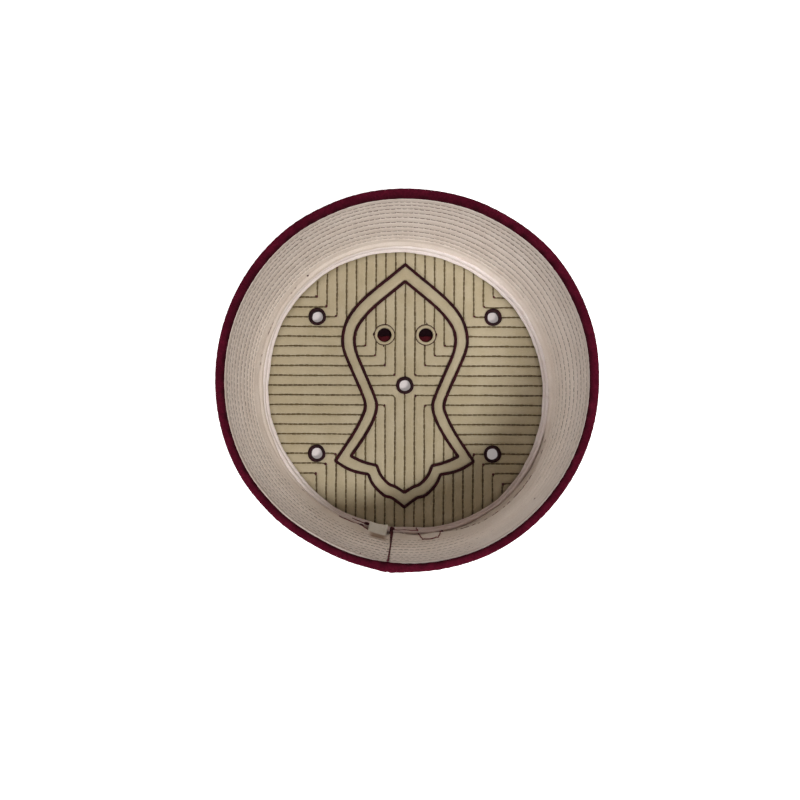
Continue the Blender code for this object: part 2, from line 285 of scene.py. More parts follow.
def feed(tree, socket, value):
    # a number or a colour is set on the socket, anything else is linked to it
    if isinstance(value, (int, float, tuple)):
        socket.default_value = value
    else:
        tree.links.new(value, socket)


def maths(tree, operation, first, second):
    made = newNode(tree, "Math", operation=operation)
    for socket, value in zip(made.inputs, (first, second)):
        feed(tree, socket, value)
    return made.outputs[0]


def spread(tree, value, fromLow, fromHigh, toLow=0.0, toHigh=1.0):
    made = newNode(tree, "MapRange", From_Min=fromLow, From_Max=fromHigh, To_Min=toLow, To_Max=toHigh)
    feed(tree, made.inputs["Value"], value)
    return made.outputs["Result"]


def blendColours(tree, share, first, second):
    made = newNode(tree, "Mix", data_type="RGBA")
    for place, value in ((0, share), (6, first), (7, second)):
        feed(tree, made.inputs[place], value)
    return made.outputs[2]


def clothLook(name, look):
    # a woven or felted cloth: patches of colour, fuzz, weave, uneven roughness and its bump
    material = bpy.data.materials.new(name)
    material.use_nodes = True
    tree = material.node_tree
    shader = tree.nodes["Principled BSDF"]
    place = newNode(tree, "TexCoord").outputs["Object"]
    woven = place
    if look.get("wrapped"):
        # the weave runs round the cap: arc and height, in metres
        split = newNode(tree, "SeparateXYZ")
        feed(tree, split.inputs[0], place)
        x, y, z = split.outputs
        joint = newNode(tree, "CombineXYZ")
        feed(tree, joint.inputs[0], maths(tree, "MULTIPLY", maths(tree, "ARCTAN2", y, x), weaveRadius))
        feed(tree, joint.inputs[1], z)
        woven = joint.outputs[0]

    def noise(scale, detail=3.0):
        made = newNode(tree, "TexNoise", Scale=scale, Detail=detail)
        feed(tree, made.inputs["Vector"], place)
        return made.outputs[0]

    patches = spread(tree, noise(1 / look["patch"], 4.0), 0.36, 0.64)
    colour = blendColours(tree, patches, look["colour"], look["other"])
    grain = spread(tree, noise(1 / look["grain"], 5.0), 0.30, 0.70)
    colour = blendColours(tree, maths(tree, "MULTIPLY", grain, look["grainTone"]), colour, look["deep"])
    height = maths(tree, "MULTIPLY", grain, look["grainHeight"])
    if look.get("weave"):
        waves = []
        for direction in ("X", "Y"):
            wave = newNode(tree, "TexWave", bands_direction=direction, Scale=0.3142 / look["weave"],
                           Distortion=look.get("slub", 0.6), Detail=2.0, Detail_Scale=0.6)
            feed(tree, wave.inputs["Vector"], woven)
            waves.append(wave.outputs["Fac"])
        crossing = maths(tree, "MULTIPLY", *waves)
        pits = spread(tree, crossing, 0.0, 0.45, look["weaveTone"], 0.0)
        colour = blendColours(tree, pits, colour, look["deep"])
        height = maths(tree, "ADD", height, maths(tree, "MULTIPLY", crossing, look["weaveHeight"]))
    for mark, marked in look.get("marks", ()):
        # a mark worked out with the mesh turns the cloth to another tone
        share = newNode(tree, "Attribute", attribute_name=mark)
        colour = blendColours(tree, share.outputs["Fac"], colour, marked)
    bump = newNode(tree, "Bump", Strength=1.0, Distance=0.001)
    feed(tree, bump.inputs["Height"], height)
    roughness = spread(tree, noise(1 / look["patch"] * 3), 0.3, 0.7, *look["rough"])
    feed(tree, shader.inputs["Base Color"], colour)
    feed(tree, shader.inputs["Roughness"], roughness)
    feed(tree, shader.inputs["Normal"], bump.outputs[0])
    shader.inputs["Sheen Weight"].default_value = look.get("sheen", 0.0)
    shader.inputs["Sheen Roughness"].default_value = 0.45
    shader.inputs["Specular IOR Level"].default_value = look.get("gloss", 0.2)
    return material


def threadLook(name, look):
    # twisted thread: fine slanting strands, a few lighter fibres
    return clothLook(name, {"patch": 0.006, "grain": 0.0006, "grainTone": 0.35, "grainHeight": 0.10,
                            "weave": 0.0009, "weaveHeight": 0.12, "weaveTone": 0.3, "slub": 2.5,
                            "rough": (0.55, 0.8), "gloss": 0.3, **look})


felt = {
    "colour": tone(99, 21, 43), "other": tone(82, 14, 34), "deep": tone(38, 4, 13),
    "patch": 0.009, "grain": 0.0011, "grainTone": 0.55, "grainHeight": 0.16,
    "weave": 0.0007, "weaveHeight": 0.05, "weaveTone": 0.25, "rough": (0.86, 0.98), "gloss": 0.03,
}
cotton = {
    "grain": 0.0007, "weave": 0.00042, "weaveHeight": 0.07, "weaveTone": 0.14,
    "rough": (0.84, 0.95),
}
looks = {
    "felt": clothLook("maroon_felt", {
        **felt, "wrapped": True, "marks": [("foldShade", tone(44, 8, 17))]}),
    "crownFelt": clothLook("maroon_crown_felt", felt),
    # the side lining is painted with brown shade in hollows, along a crease, by the tag and below the
    # lip, and with grey shade towards the rim
    "sideLining": clothLook("side_lining_cotton", {
        **cotton, "wrapped": True, "patch": 0.012, "grainTone": 0.16, "grainHeight": 0.08, "sheen": 0.08,
        "colour": tone(248, 238, 229), "other": tone(241, 229, 219), "deep": tone(172, 150, 136),
        "marks": [("paintedShade", tone(150, 137, 129)), ("paintedBrownShade", tone(140, 112, 90))]}),
    "crownLining": clothLook("crown_lining_cotton", {
        **cotton, "patch": 0.011, "grainTone": 0.14, "grainHeight": 0.07, "sheen": 0.06,
        "colour": tone(200, 189, 162), "other": tone(190, 178, 149), "deep": tone(130, 114, 84),
        "marks": [("edgeShade", tone(116, 100, 74))]}),
    # the rolls are painted with warm brown shade on their shaded side
    "roll": clothLook("seam_roll_cotton", {
        **cotton, "wrapped": True, "patch": 0.007, "grain": 0.0006,
        "grainTone": 0.2, "grainHeight": 0.12,
        "weaveHeight": 0.08, "weaveTone": 0.16, "rough": (0.82, 0.95), "sheen": 0.1,
        "colour": tone(252, 245, 243), "other": tone(247, 237, 234), "deep": tone(188, 165, 156),
        "marks": [("paintedShade", tone(176, 126, 110))]}),
    "tag": clothLook("tag_tape", {
        "colour": tone(246, 243, 234), "other": tone(238, 234, 222), "deep": tone(178, 166, 146),
        "patch": 0.004, "grain": 0.0005, "grainTone": 0.14, "grainHeight": 0.05,
        "weave": 0.0005, "weaveHeight": 0.10, "weaveTone": 0.16,
        "rough": (0.55, 0.75), "sheen": 0.1, "gloss": 0.35}),
    "rowThread": threadLook("row_thread", {
        "colour": tone(130, 114, 104), "other": tone(108, 94, 85), "deep": tone(70, 58, 51)}),
    "quiltThread": threadLook("quilt_thread", {
        "colour": tone(118, 104, 72), "other": tone(100, 86, 60), "deep": tone(56, 44, 30)}),
    "outlineThread": threadLook("outline_thread", {
        "colour": tone(72, 25, 33), "other": tone(52, 17, 25), "deep": tone(16, 4, 8), "gloss": 0.15}),
    "satin": threadLook("eyelet_satin_thread", {
        "colour": tone(56, 14, 26), "other": tone(40, 9, 18), "deep": tone(14, 3, 8),
        "gloss": 0.22, "rough": (0.5, 0.7)}),
    "looseThread": threadLook("loose_thread", {
        "colour": tone(150, 82, 86), "other": tone(128, 60, 66), "deep": tone(60, 20, 26)}),
    "grooveThread": threadLook("groove_thread", {
        "colour": tone(146, 122, 110), "other": tone(124, 94, 88), "deep": tone(78, 56, 52)}),
    "knot": threadLook("knot_thread", {
        "colour": tone(98, 32, 46), "other": tone(76, 26, 36), "deep": tone(34, 10, 16)}),
    # the cut-out felt is painted dark as shade where it lies deep in the opening
    "cutOut": clothLook("cut_out_felt", {
        "colour": tone(84, 22, 30), "other": tone(70, 16, 24), "deep": tone(30, 6, 10),
        "patch": 0.003, "grain": 0.0008, "grainTone": 0.5, "grainHeight": 0.14, "rough": (0.85, 0.96),
        "gloss": 0.1, "marks": [("recessShade", tone(26, 8, 14))]}),
}
print("looks made")


# the wall: maroon cloth over a stiff band, its top edge turned in

wall = {
    "around": 480, "upStep": 1.7, "fuzz": 0.07,
    "lipWidth": 4.1, "lipHeight": 2.5, "lipRounding": 1.45,
    "widen": (0.45, 0.42, 80),      # how much wider the lip is, how unevenly, and where most
    "seamGroove": 0.35, "seamGrooveWidth": 0.5, "seamNotch": 0.25, "seamNotchWidth": 0.45,
}


def wallProfile():
    # once round the wall's section, up its outside, over the rim and down its back:
    # way in from the outer face, height, how shaded the cloth is
    foot, top, rounding, inner = cap["foot"], cap["height"], wall["lipRounding"], wall["lipWidth"]
    lipLow = top - wall["lipHeight"]
    profile = [(0.7, foot, 0), (0.2, foot + 0.25, 0)]
    profile += [(0, z, 0) for z in np.arange(foot + 1.2, lipLow, wall["upStep"])]
    profile.append((0, lipLow, 0))
    for step in range(7):
        angle = math.radians(15 * step)
        profile.append((rounding * (1 - math.cos(angle)), top - rounding * (1 - math.sin(angle)), 0))
    # the turned-in cloth dips a little towards its stitched inner edge
    flat = inner - 0.9 - rounding
    profile += [(rounding + flat * s, top - 0.30 * s ** 2, 0.8 * s ** 2) for s in (0.25, 0.5, 0.75, 1)]
    profile += [(inner - 0.35, top - 0.55, 1), (inner, top - 1.1, 1), (inner, top - 1.9, 1),
                (inner - 0.15, lipLow, 1)]
    return profile + [(cap["band"], z, 0.5) for z in (lipLow - 0.1, 60, 40, 20, foot)]


def makeWallCloth():
    profile = wallProfile()
    top, rounding = cap["height"], wall["lipRounding"]
    inward, z, shade = (np.array(column, float)[:, None] for column in zip(*profile))
    azimuths = cap["seam"] + np.arange(wall["around"]) * 360 / wall["around"]
    turn = np.radians(azimuths)[None, :]
    # the turned-in cloth is widest towards one side, and its edge runs straight on past the back seam
    wider, uneven, widest = wall["widen"]
    extra = wider + uneven * np.cos(turn - math.radians(widest)) + seamSwell(azimuths)
    share = np.clip((inward - rounding) / (wall["lipWidth"] - rounding), 0, 1)
    inward = inward + extra * share * (z > top - 2.55)
    fuzz = ripple(turn, 3, 60, 170, 9) * np.cos(z * 1.3)
    fuzz = fuzz + ripple(turn, 4, 90, 200, 9) * np.sin(z * 0.9 + inward)
    inward = inward + wall["fuzz"] * fuzz * ((inward < cap["band"] - 0.1) | (z > top - 2.3))
    # the overlapped back seam: a shallow groove outside and a notch in the rim
    off = turnFrom(azimuths, cap["seam"])[None, :]
    inward = inward + np.where(inward < 0.5, wall["seamGroove"] * hump(off, wall["seamGrooveWidth"]), 0)
    lift = 0.12 * ripple(turn, 5, 8, 40) + 0.10 * ripple(turn, 6, 60, 150, 9)
    z = z + np.minimum(0.16 * lift, 0) * (z > top - 1.5)
    z = z - np.where(z > top - 1.2, wall["seamNotch"] * hump(off, wall["seamNotchWidth"]), 0)
    points = wallPoint(azimuths[None, :], z, inward)
    patch = 0.75 + 0.25 * ripple(turn, 7, 20, 90, 8) + 0 * z
    shade = np.clip(shade * patch, 0, 1) + 0 * points[..., 0]
    addPiece("wallCloth", points, [ringFaces(len(profile), wall["around"], True)], looks["felt"],
             "maroon_cloth", ["side_cloth"], marks={"foldShade": shade})


# the side lining: ten rows of quilting over a thin padding, then a plain stretch down to the crown

rows = {
    "depths": (8.3, 12.9, 18.2, 23.8, 30.0, 36.6, 43.2, 49.4, 55.2, 60.5),     # below the rim
    "tilt": (0.988, 0.070, 33, 0.0194, 165),    # see rowTilt
    "pitch": 5.6, "puff": 0.56, "grooveWidth": 0.85, "wander": 0.2, "stitch": 3.0,
    "around": 720, "upStep": 0.74, "top": 81.2, "furthestIn": 6.9,
    "threadRadius": 0.235, "dashLength": 2.55, "dashArch": 0.09,
    # where the thread sinks away or stands out: azimuth and half width
    "faintAt": (312, 20), "sunkAt": (40, 70), "proudAt": (262, 24),
}
# the plain stretch: how far the cloth bulges above the faint line and folds out below it
plain = {
    "thick": 0.30, "bulge": 1.5, "bulgeAbove": 2.4, "bulgeWidths": (1.3, 6.0),
    "fold": 1.7, "foldFoot": 8.8,
}
# azimuth, height of the faint line low in the lining, how full the cloth is below it, and how much brown
# shade is painted there
sunkenLine = [
    (0, 15.0, 1, 0), (60, 15.5, 1, 0), (110, 16.0, 1, 0), (140, 16.8, 1, 0), (190, 16.5, 1, 0),
    (215, 15.5, 0.7, 0.1), (240, 14.5, 0.2, 0.3), (250, 12.5, 0, 0.3), (262, 11.5, 0, 0.2),
    (278, 12.0, 0, 0.3), (283, 14.0, 0, 0.6), (289, 17.5, 0, 0.9), (295, 21.5, 0, 1),
    (303, 26.0, 0, 1), (312, 27.0, 0, 1), (324, 25.0, 0, 1), (331, 21.5, 0, 0.8),
    (341, 16.0, 0.4, 0.3), (350, 14.8, 0.9, 0), (360, 15.0, 1, 0),
]
# how strong each painted shade on the side lining is, and where: azimuth and half width, or heights
paintedShading = {
    "hollow": 0.30, "line": 0.30, "lineAt": (153, 22),
    "underTag": 0.85, "underTagAt": (259.3, 3.3), "underTagHeight": (23.5, 7.0),
    "rim": 0.35, "rimDarker": 0.30, "rimDarkerAt": (208, 34), "rimHeights": (79.8, 81.0),
    "rimLessShade": 0.33, "lessShadeAt": (68, 58), "edge": 0.42, "edgeAt": (198, 38),
    "sideShade": (0.03, 0.30), "sideShadeAt": 100, "unshadedFoot": 20, "unshadedFootAt": (165, 40),
    "highShade": 0.38, "highShadeHeights": (46, 70), "rimShade": 0.22, "rimShadeHeights": (76, 80.5),
}


def rowTilt(turn):
    # the rows don't run quite level: how much deeper than the table they lie
    mean, once, onceAt, twice, twiceAt = rows["tilt"]
    tilt = mean + once * np.cos(turn - math.radians(onceAt))
    return tilt + twice * np.cos(2 * turn - math.radians(twiceAt))


def rowDepth(index):
    return np.interp(index, range(len(rows["depths"])), rows["depths"])


def rowWander(turn, index):
    wander = ripple(turn, 21, 2, 9) + 0.7 * ripple(turn, 22, 4, 16) * np.cos(1.7 * index)
    return rows["wander"] * wander


def rowHeight(index, turn):
    return cap["height"] - rowDepth(index) * rowTilt(turn) - rowWander(turn, index)


def stitchCount(index):
    radius = outerRadius(cap["height"] - rowDepth(index)) - cap["liningFace"]
    return np.round(2 * math.pi * radius / rows["stitch"])


def stitchPhase(index):
    return np.asarray(index) * 2.17


def sunkenAt(azimuth, column=1):
    line = np.array(sunkenLine, float)
    return np.interp(np.asarray(azimuth) % 360, line[:, 0], line[:, column])


def quiltedFace(turn, place):
    # ribs between the rows, pulled in at each stitch hole
    nearest = np.clip(np.round(place), 0, 9)
    off = (place - nearest) * rows["pitch"]
    rib = rows["puff"] * (1 - hump(off, rows["grooveWidth"]))
    hole = 0.5 + 0.5 * np.cos(stitchCount(nearest) * turn + stitchPhase(nearest))
    pulled = 0.16 * hole * hump(off, 0.7) + 0.06 * (hole - 0.5) * hump(off, 2.1)
    soft = 0.05 * ripple(turn, 31, 30, 90, 9) * np.sin(place * 3.1)
    soft = soft + 0.05 * ripple(turn, 32, 50, 130, 9)
    return rib - pulled + soft


def plainFace(azimuth, z):
    # above the faint line the cloth bulges, below it lies back or folds down over the side roll
    turn = np.radians(azimuth)
    line, full = sunkenAt(azimuth), sunkenAt(azimuth, 2)
    crest = z - line - plain["bulgeAbove"]
    byTag = humpAt(azimuth, cap["tagAt"], 5.5, 4)
    bulge = (plain["bulge"] - 0.7 * full) * (1 - 0.9 * byTag)
    bulge = bulge * hump(crest, np.where(crest < 0, *plain["bulgeWidths"]))
    half = np.maximum((line - plain["foldFoot"]) / 2, 0.5)
    fold = plain["fold"] * full * hump(z - line + half, 0.85 * half, 4)
    uneven = 0.25 * ripple(turn + 0.006 * z, 33, 5, 26, 8) * np.sin(z / 4.6)
    uneven = uneven + 0.16 * ripple(turn - 0.01 * z, 34, 20, 60, 9)
    face = plain["thick"] + uneven * easeStep(1.5, 12, z) * 0.7
    face = face + bulge * (1 + 0.25 * ripple(turn, 35, 6, 30))
    return face + fold * (1 + 0.10 * ripple(turn, 36, 6, 30))


def liningInward(azimuth, z):
    # the lining face's way in from the wall's outer face: quilted above, plain below
    turn = np.radians(azimuth)
    depth = (cap["height"] - z) / rowTilt(turn)
    known = (rows["depths"][0] - 4.6,) + rows["depths"] + (66, 72, 78)
    place = np.interp(depth, known, range(-1, 13))
    place = place - rowWander(turn, place) / rows["pitch"]
    quilted = easeStep(10.7, 9.5, place)
    face = cap["liningFace"] - 0.08 + quiltedFace(turn, place) * quilted
    face = face + plainFace(azimuth, z) * (1 - quilted)
    # the lining's own seam, one edge laid over the other
    off = turnFrom(azimuth, cap["seam"] - 0.4)
    return face + 0.38 * easeStep(-0.35, 0.05, off) * easeStep(9, 2.5, off)


def lessShadedSide(azimuth):
    # where less shade is painted at the rim
    return humpAt(azimuth, *paintedShading["lessShadeAt"], 4)


def liningPaintedBrownShade(azimuth, z):
    # painted brown shade: in the hollow below the faint line, along part of the line, under the tag, and
    # at the top edge below the lip
    above = z - sunkenAt(azimuth)
    hollow = paintedShading["hollow"] * sunkenAt(azimuth, 3) * easeStep(1.2, -0.4, above)
    line = paintedShading["line"] * hump(above, 0.8) * humpAt(azimuth, *paintedShading["lineAt"], 4)
    middle, reach = paintedShading["underTagHeight"]
    underTag = paintedShading["underTag"] * humpAt(azimuth, *paintedShading["underTagAt"], 6) * hump(z - middle, reach, 6)
    rim = paintedShading["rim"] + paintedShading["rimDarker"] * humpAt(azimuth, *paintedShading["rimDarkerAt"], 4)
    rim = (rim - paintedShading["rimLessShade"] * lessShadedSide(azimuth)) * easeStep(*paintedShading["rimHeights"], z)
    return np.clip(np.maximum.reduce([hollow, line, underTag, rim]), 0, 1)


def liningPaintedShade(azimuth, z):
    # painted grey shade: more in the upper lining and towards the rim, and a little more all down one
    # side, the more brightly lit one
    least, more = paintedShading["sideShade"]
    side = (0.5 + 0.5 * np.cos(np.radians(azimuth - paintedShading["sideShadeAt"]))) ** 0.8
    unshaded = paintedShading["unshadedFoot"] * humpAt(azimuth, *paintedShading["unshadedFootAt"])
    low = (least + more * side) * easeStep(0, 1, (z - 10 - unshaded) / (24 - 0.3 * unshaded))
    high = easeStep(*paintedShading["highShadeHeights"], z)
    rim = paintedShading["rimShade"] * (1 - lessShadedSide(azimuth)) * easeStep(*paintedShading["rimShadeHeights"], z)
    return low * (1 - high) + paintedShading["highShade"] * high + rim


def makeSideLining():
    # finer rows of points where the faint line and the fold lie
    low = np.concatenate([np.arange(cap["foot"], 9, 1.5), np.arange(9, 25, 0.66)])
    high = np.arange(25.4, rows["top"] - 0.5, rows["upStep"])
    face = np.concatenate([low, high, [rows["top"] - 0.45]])
    azimuths = cap["seam"] + np.arange(rows["around"]) * 360 / rows["around"]
    z = np.broadcast_to(face[:, None], (len(face), rows["around"]))
    inward = np.minimum(liningInward(azimuths[None, :], z), rows["furthestIn"])
    # over the top edge and down the back
    edge = inward[-1] - 0.35
    back = cap["liningBack"] + 0 * edge
    behind = [(edge, rows["top"]), (back + 0.2, rows["top"])]
    behind += [(back, height) for height in (rows["top"] - 0.2, 60, 40, 20, cap["foot"])]
    allInward = np.concatenate([inward, [way for way, _ in behind]])
    allZ = np.concatenate([z, [height + 0 * edge for _, height in behind]])
    # no shade is painted on the top edge but for one stretch, and none on the back
    unshaded = np.zeros((len(behind), rows["around"]))
    shadedEdge = unshaded.copy()
    shadedEdge[:2] = paintedShading["edge"] * humpAt(azimuths, *paintedShading["edgeAt"], 4)
    everywhere = azimuths[None, :] + 0 * z
    marks = {"paintedBrownShade": np.concatenate([liningPaintedBrownShade(everywhere, z), shadedEdge]),
             "paintedShade": np.concatenate([liningPaintedShade(everywhere, z), unshaded])}
    lining = addPiece("sideLining", wallPoint(azimuths[None, :], allZ, allInward),
                      [ringFaces(len(allZ), rows["around"], True)], looks["sideLining"],
                      "side_lining_cloth", ["side_lining"], marks=marks)


def makeRowStitches():
    chance = np.random.default_rng(41)
    stitches = []
    for index in range(len(rows["depths"])):
        count = int(stitchCount(index))
        # stitches lie between the holes, where the pull on the cloth is least
        turn = ((np.arange(count) + 0.5) * 2 * math.pi - stitchPhase(index)) / count
        azimuth = np.degrees(turn)
        z = rowHeight(index, turn) + chance.normal(0, 0.07, count)
        faint = humpAt(azimuth, *rows["faintAt"])
        sunk = humpAt(azimuth, *rows["sunkAt"]) * (0.25 + 0.75 * index / 9)
        proud = humpAt(azimuth, *rows["proudAt"])
        inward = liningInward(azimuth, z) + 0.04 - 0.16 * faint - 0.06 * sunk
        here = wallPoint(azimuth, z, inward)
        along = wallPoint(azimuth + 0.2, z, inward) - here
        along /= np.linalg.norm(along, axis=-1, keepdims=True)
        up = inwardWay(turn, 0.05)
        up /= np.linalg.norm(up, axis=-1, keepdims=True)
        size = 1.08 - 0.02 * index + 0.22 * (index < 3) - 0.25 * faint - 0.38 * sunk + 0.28 * proud
        radius = rows["threadRadius"] * chance.uniform(0.85, 1.12, count) * size
        arch = rows["dashArch"] * chance.uniform(0.6, 1.15, count) * (1 - 0.7 * faint - 0.5 * sunk)
        length = rows["dashLength"] * chance.uniform(0.88, 1.1, count)
        stitches.append((here, along, up, length, radius, arch))
    points, faces = dashes(*(np.concatenate(column) for column in zip(*stitches)))
    addPiece("rowStitches", points, faces, looks["rowThread"], "outline_thread")


# the two rolled seams where the lining meets the crown

rolls = {
    "around": 640, "sides": 18, "shadeShare": 0.34, "shadeAt": (286, 46),
    "crown": {"height": 5.3, "reach": 2.5, "across": 1.55, "thick": 1.40, "seed": 51},
    "side": {"height": 9.1, "reach": 1.85, "across": 1.25, "thick": 2.4, "seed": 61},
}
# azimuth, how far outward the rolls lie there, in mm
rollLie = [
    (0, -0.1), (30, 0), (65, -0.4), (90, 0.1), (120, 0.8), (150, 0.8), (172, -0.1), (190, 0.6),
    (213, -0.2), (240, 0.9), (255, -0.3), (270, -0.9), (281, 0.1), (310, 1.1), (340, -0.2), (360, -0.1),
]


def rollBase(roll, azimuth):
    # how far inward a roll's middle lies, and how much it is squeezed where it lies far out
    lie = np.interp(np.asarray(azimuth) % 360, *zip(*rollLie))
    return cap["liningFace"] + roll["reach"] - lie * 0.85, 1 - 0.22 * np.clip(lie, 0, 2)


def rollShape(roll):
    azimuths = cap["seam"] + np.arange(rolls["around"]) * 360 / rolls["around"]
    turn = np.radians(azimuths)[:, None]
    angle = (np.arange(rolls["sides"]) * 2 * math.pi / rolls["sides"])[None, :]
    seed = roll["seed"]
    size = 1 + 0.08 * ripple(turn, seed, 9, 30) + 0.05 * ripple(turn, seed + 1, 30, 80, 8)
    # fine creases wind round the roll, and one deeper fold
    twist = 14 * turn + 2.2 * angle
    crease = 0.035 * ripple(turn + 0.02 * np.sin(angle), seed + 2, 90, 170, 10)
    crease = crease + 0.03 * np.sin(3 * angle + twist)
    fold = hump(np.sin(angle * 0.5 + 3 * turn + roll["height"]), 0.18)
    size = size + crease - 0.06 * fold
    # each roll is squeezed where it lies far out, so that it stays in front of the lining
    base, squeeze = (part[:, None] for part in rollBase(roll, azimuths))
    across = roll["across"] * size * squeeze
    inward = base - 0.085 * ripple(turn, seed + 3, 12, 40) - across * np.cos(angle)
    z = roll["height"] + 0.12 * ripple(turn, seed + 4, 5, 30)
    z = z + roll["thick"] * size * squeeze * np.sin(angle)
    return wallPoint(np.broadcast_to(azimuths[:, None], z.shape), z, inward)


def makeRolls():
    for name, node in (("crown", "crown_seam_roll"), ("side", "side_seam_roll")):
        points = rollShape(rolls[name])
        azimuths = np.degrees(np.arctan2(points[..., 1], points[..., 0]))
        # painted warm brown shade where the rolls lie in shade
        paintedShade = rolls["shadeShare"] * humpAt(azimuths, *rolls["shadeAt"], 4)
        piece = addPiece(name + "SeamRoll", points, [ringFaces(rolls["around"], rolls["sides"], True)],
                         looks["roll"], "seam_roll_cloth", [node], marks={"paintedShade": paintedShade})


# the crown: lining quilted in mitred squares round the sandal figure, with eyelets and cut-outs

figureCentre = [round(1000 * (low + high) / 2, 3) for low, high in zip(*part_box("eyelet_1"))][:2]
crownCentre = [middle + drift for middle, drift in zip(cap["axis"], cap["crownDrift"])]
crown = {
    "liningRadius": 85.05, "liningLow": 1.5, "liningTop": 3.78,
    "clothRadius": 89.5, "clothTop": 1.2, "clothLow": 0.02,
    "pitch": 5.8, "lines": 14, "groove": 0.42, "grooveWidth": 0.85, "cells": 8, "clothCells": 5,
    "corner": 2.2, "upperCorner": 1.1, "lineEnd": 82.4,
    "stitch": 3.0, "threadRadius": 0.57, "dashLength": 3.02, "dashArch": 0.05,
    "eyeletColumn": 9, "eyeletRow": 7, "boreCut": 4.3, "flange": 5.2, "flangeDip": (0.30, 1.3),
    "cutOutSide": 12.3, "cutOutUp": 30.0, "cutOutRadius": 4.25,
    "cutOutRing": 6.1, "cutOutDip": (0.28, 0.7),
}
# right half of each outline: out from the figure's middle line, up along it, and whether it is a corner
outerOutline = [
    (0, 71.6, True), (8.2, 64.8, False), (17.1, 57.6, False), (25.1, 50.5, False),
    (31.3, 43.4, False), (35.2, 36.2, False), (36.9, 28.5, False), (36.2, 20.8, False),
    (31.5, 9.0, False), (26.0, -3.5, False), (23.3, -11.9, False), (25.2, -18.8, False),
    (30.5, -29.0, False), (41.0, -45.1, True), (34.7, -49.1, False), (28.9, -51.4, False),
    (21.4, -52.9, True), (18.5, -59.0, False), (12.3, -65.2, False), (7.2, -66.9, False),
    (0, -72.3, True),
]
innerOutline = [
    (0, 61.6, True), (7.0, 55.9, False), (16.0, 48.5, False), (22.8, 41.9, False),
    (28.3, 34.2, False), (30.0, 27.0, False), (28.7, 19.0, False), (24.2, 8.2, False),
    (18.8, -4.5, False), (16.6, -12.2, False), (18.7, -20.8, False), (24.2, -31.0, False),
    (31.8, -42.2, True), (24.3, -45.6, False), (16.4, -47.7, True), (13.9, -53.6, False),
    (9.3, -58.5, False), (5.0, -60.4, False), (0, -63.6, True),
]


def figurePath(table, step):
    # the whole closed outline about the figure's centre, evenly spaced
    stretches = []
    for side, up, corner in table:
        point = np.array([side, up], float)
        if stretches:
            stretches[-1].append(point)
        if corner:
            stretches.append([point])
    half = [stretches[0][0]]
    for stretch in stretches[:-1]:
        half += smoothRun(stretch, 0.5)[1:]
    mirrored = [point * (-1, 1) for point in reversed(half[1:-1])]
    return evenly(half + mirrored, step, True)


outlines = {"outer": figurePath(outerOutline, 0.5), "inner": figurePath(innerOutline, 0.5)}
eyeletOut, eyeletUp = crown["eyeletColumn"] * crown["pitch"], crown["eyeletRow"] * crown["pitch"]
eyeletPlaces = [(0, 0)] + [(x * eyeletOut, y * eyeletUp) for x in (-1, 1) for y in (-1, 1)]
cutOutPlaces = [(x * crown["cutOutSide"], crown["cutOutUp"]) for x in (-1, 1)]


def fromCrown(x, y):
    # how far a spot about the figure's centre lies from the crown's middle, less the oval's pull
    x, y = x + figureCentre[0] - crownCentre[0], y + figureCentre[1] - crownCentre[1]
    return np.hypot(x, y) - ovalAt(np.degrees(np.arctan2(y, x)))


def nearOutline(spots, outline):
    # how far each spot is from an outline, and whether it lies inside it
    path = outlines[outline].astype(np.float32)
    after = np.roll(path, -1, 0)
    away, inside = np.empty(len(spots)), np.empty(len(spots), bool)
    for start in range(0, len(spots), 3000):
        some = np.asarray(spots[start:start + 3000], np.float32)
        gap = some[:, None] - path[None]
        away[start:start + 3000] = np.sqrt((gap ** 2).sum(-1).min(1))
        x, y = some[:, :1], some[:, 1:]
        spans = (path[None, :, 1] > y) != (after[None, :, 1] > y)
        slope = (after[:, 0] - path[:, 0]) / (after[:, 1] - path[:, 1] + 1e-9)
        crossing = path[None, :, 0] + (y - path[None, :, 1]) * slope[None]
        inside[start:start + 3000] = (spans & (x < crossing)).sum(1) % 2 == 1
    return away, inside


def quiltOff(spots):
    # how far each spot is from the nearest quilting line of its own quarter
    x, y = np.abs(spots[:, 0]), np.abs(spots[:, 1])
    run = np.where(x > y, y, x)
    return np.abs((run / crown["pitch"] + 0.5) % 1 - 0.5) * crown["pitch"]


def crownTop(spots):
    # height of the quilted lining over the crown; spots are about the figure's centre
    awayOuter, inOuter = nearOutline(spots, "outer")
    awayInner, inInner = nearOutline(spots, "inner")
    band = inOuter & ~inInner
    away = np.minimum(awayOuter, awayInner)
    line = crown["groove"] * hump(quiltOff(spots), crown["grooveWidth"])
    line = line * np.where(band, 0, easeStep(0.2, 1.6, away))
    z = crown["liningTop"] + 0.20 - line
    z = z + np.where(band, 0.10 * easeStep(0.5, 3.5, away), 0)
    z = z - 0.30 * hump(away, 1.1)
    x, y = spots[:, 0], spots[:, 1]
    z = z + 0.07 * np.sin(x / 7.3 + 0.6) * np.sin(y / 6.1 + 1.1) + 0.04 * np.sin(x / 2.9 + y / 4.3)
    for places, radius, (depth, width) in ((eyeletPlaces, crown["flange"], crown["flangeDip"]),
                                           (cutOutPlaces, crown["cutOutRing"], crown["cutOutDip"])):
        for centre in places:
            z = z - depth * hump(np.hypot(x - centre[0], y - centre[1]) - radius, width)
    return z - 0.8 * easeStep(78.5, 82.8, fromCrown(x, y))


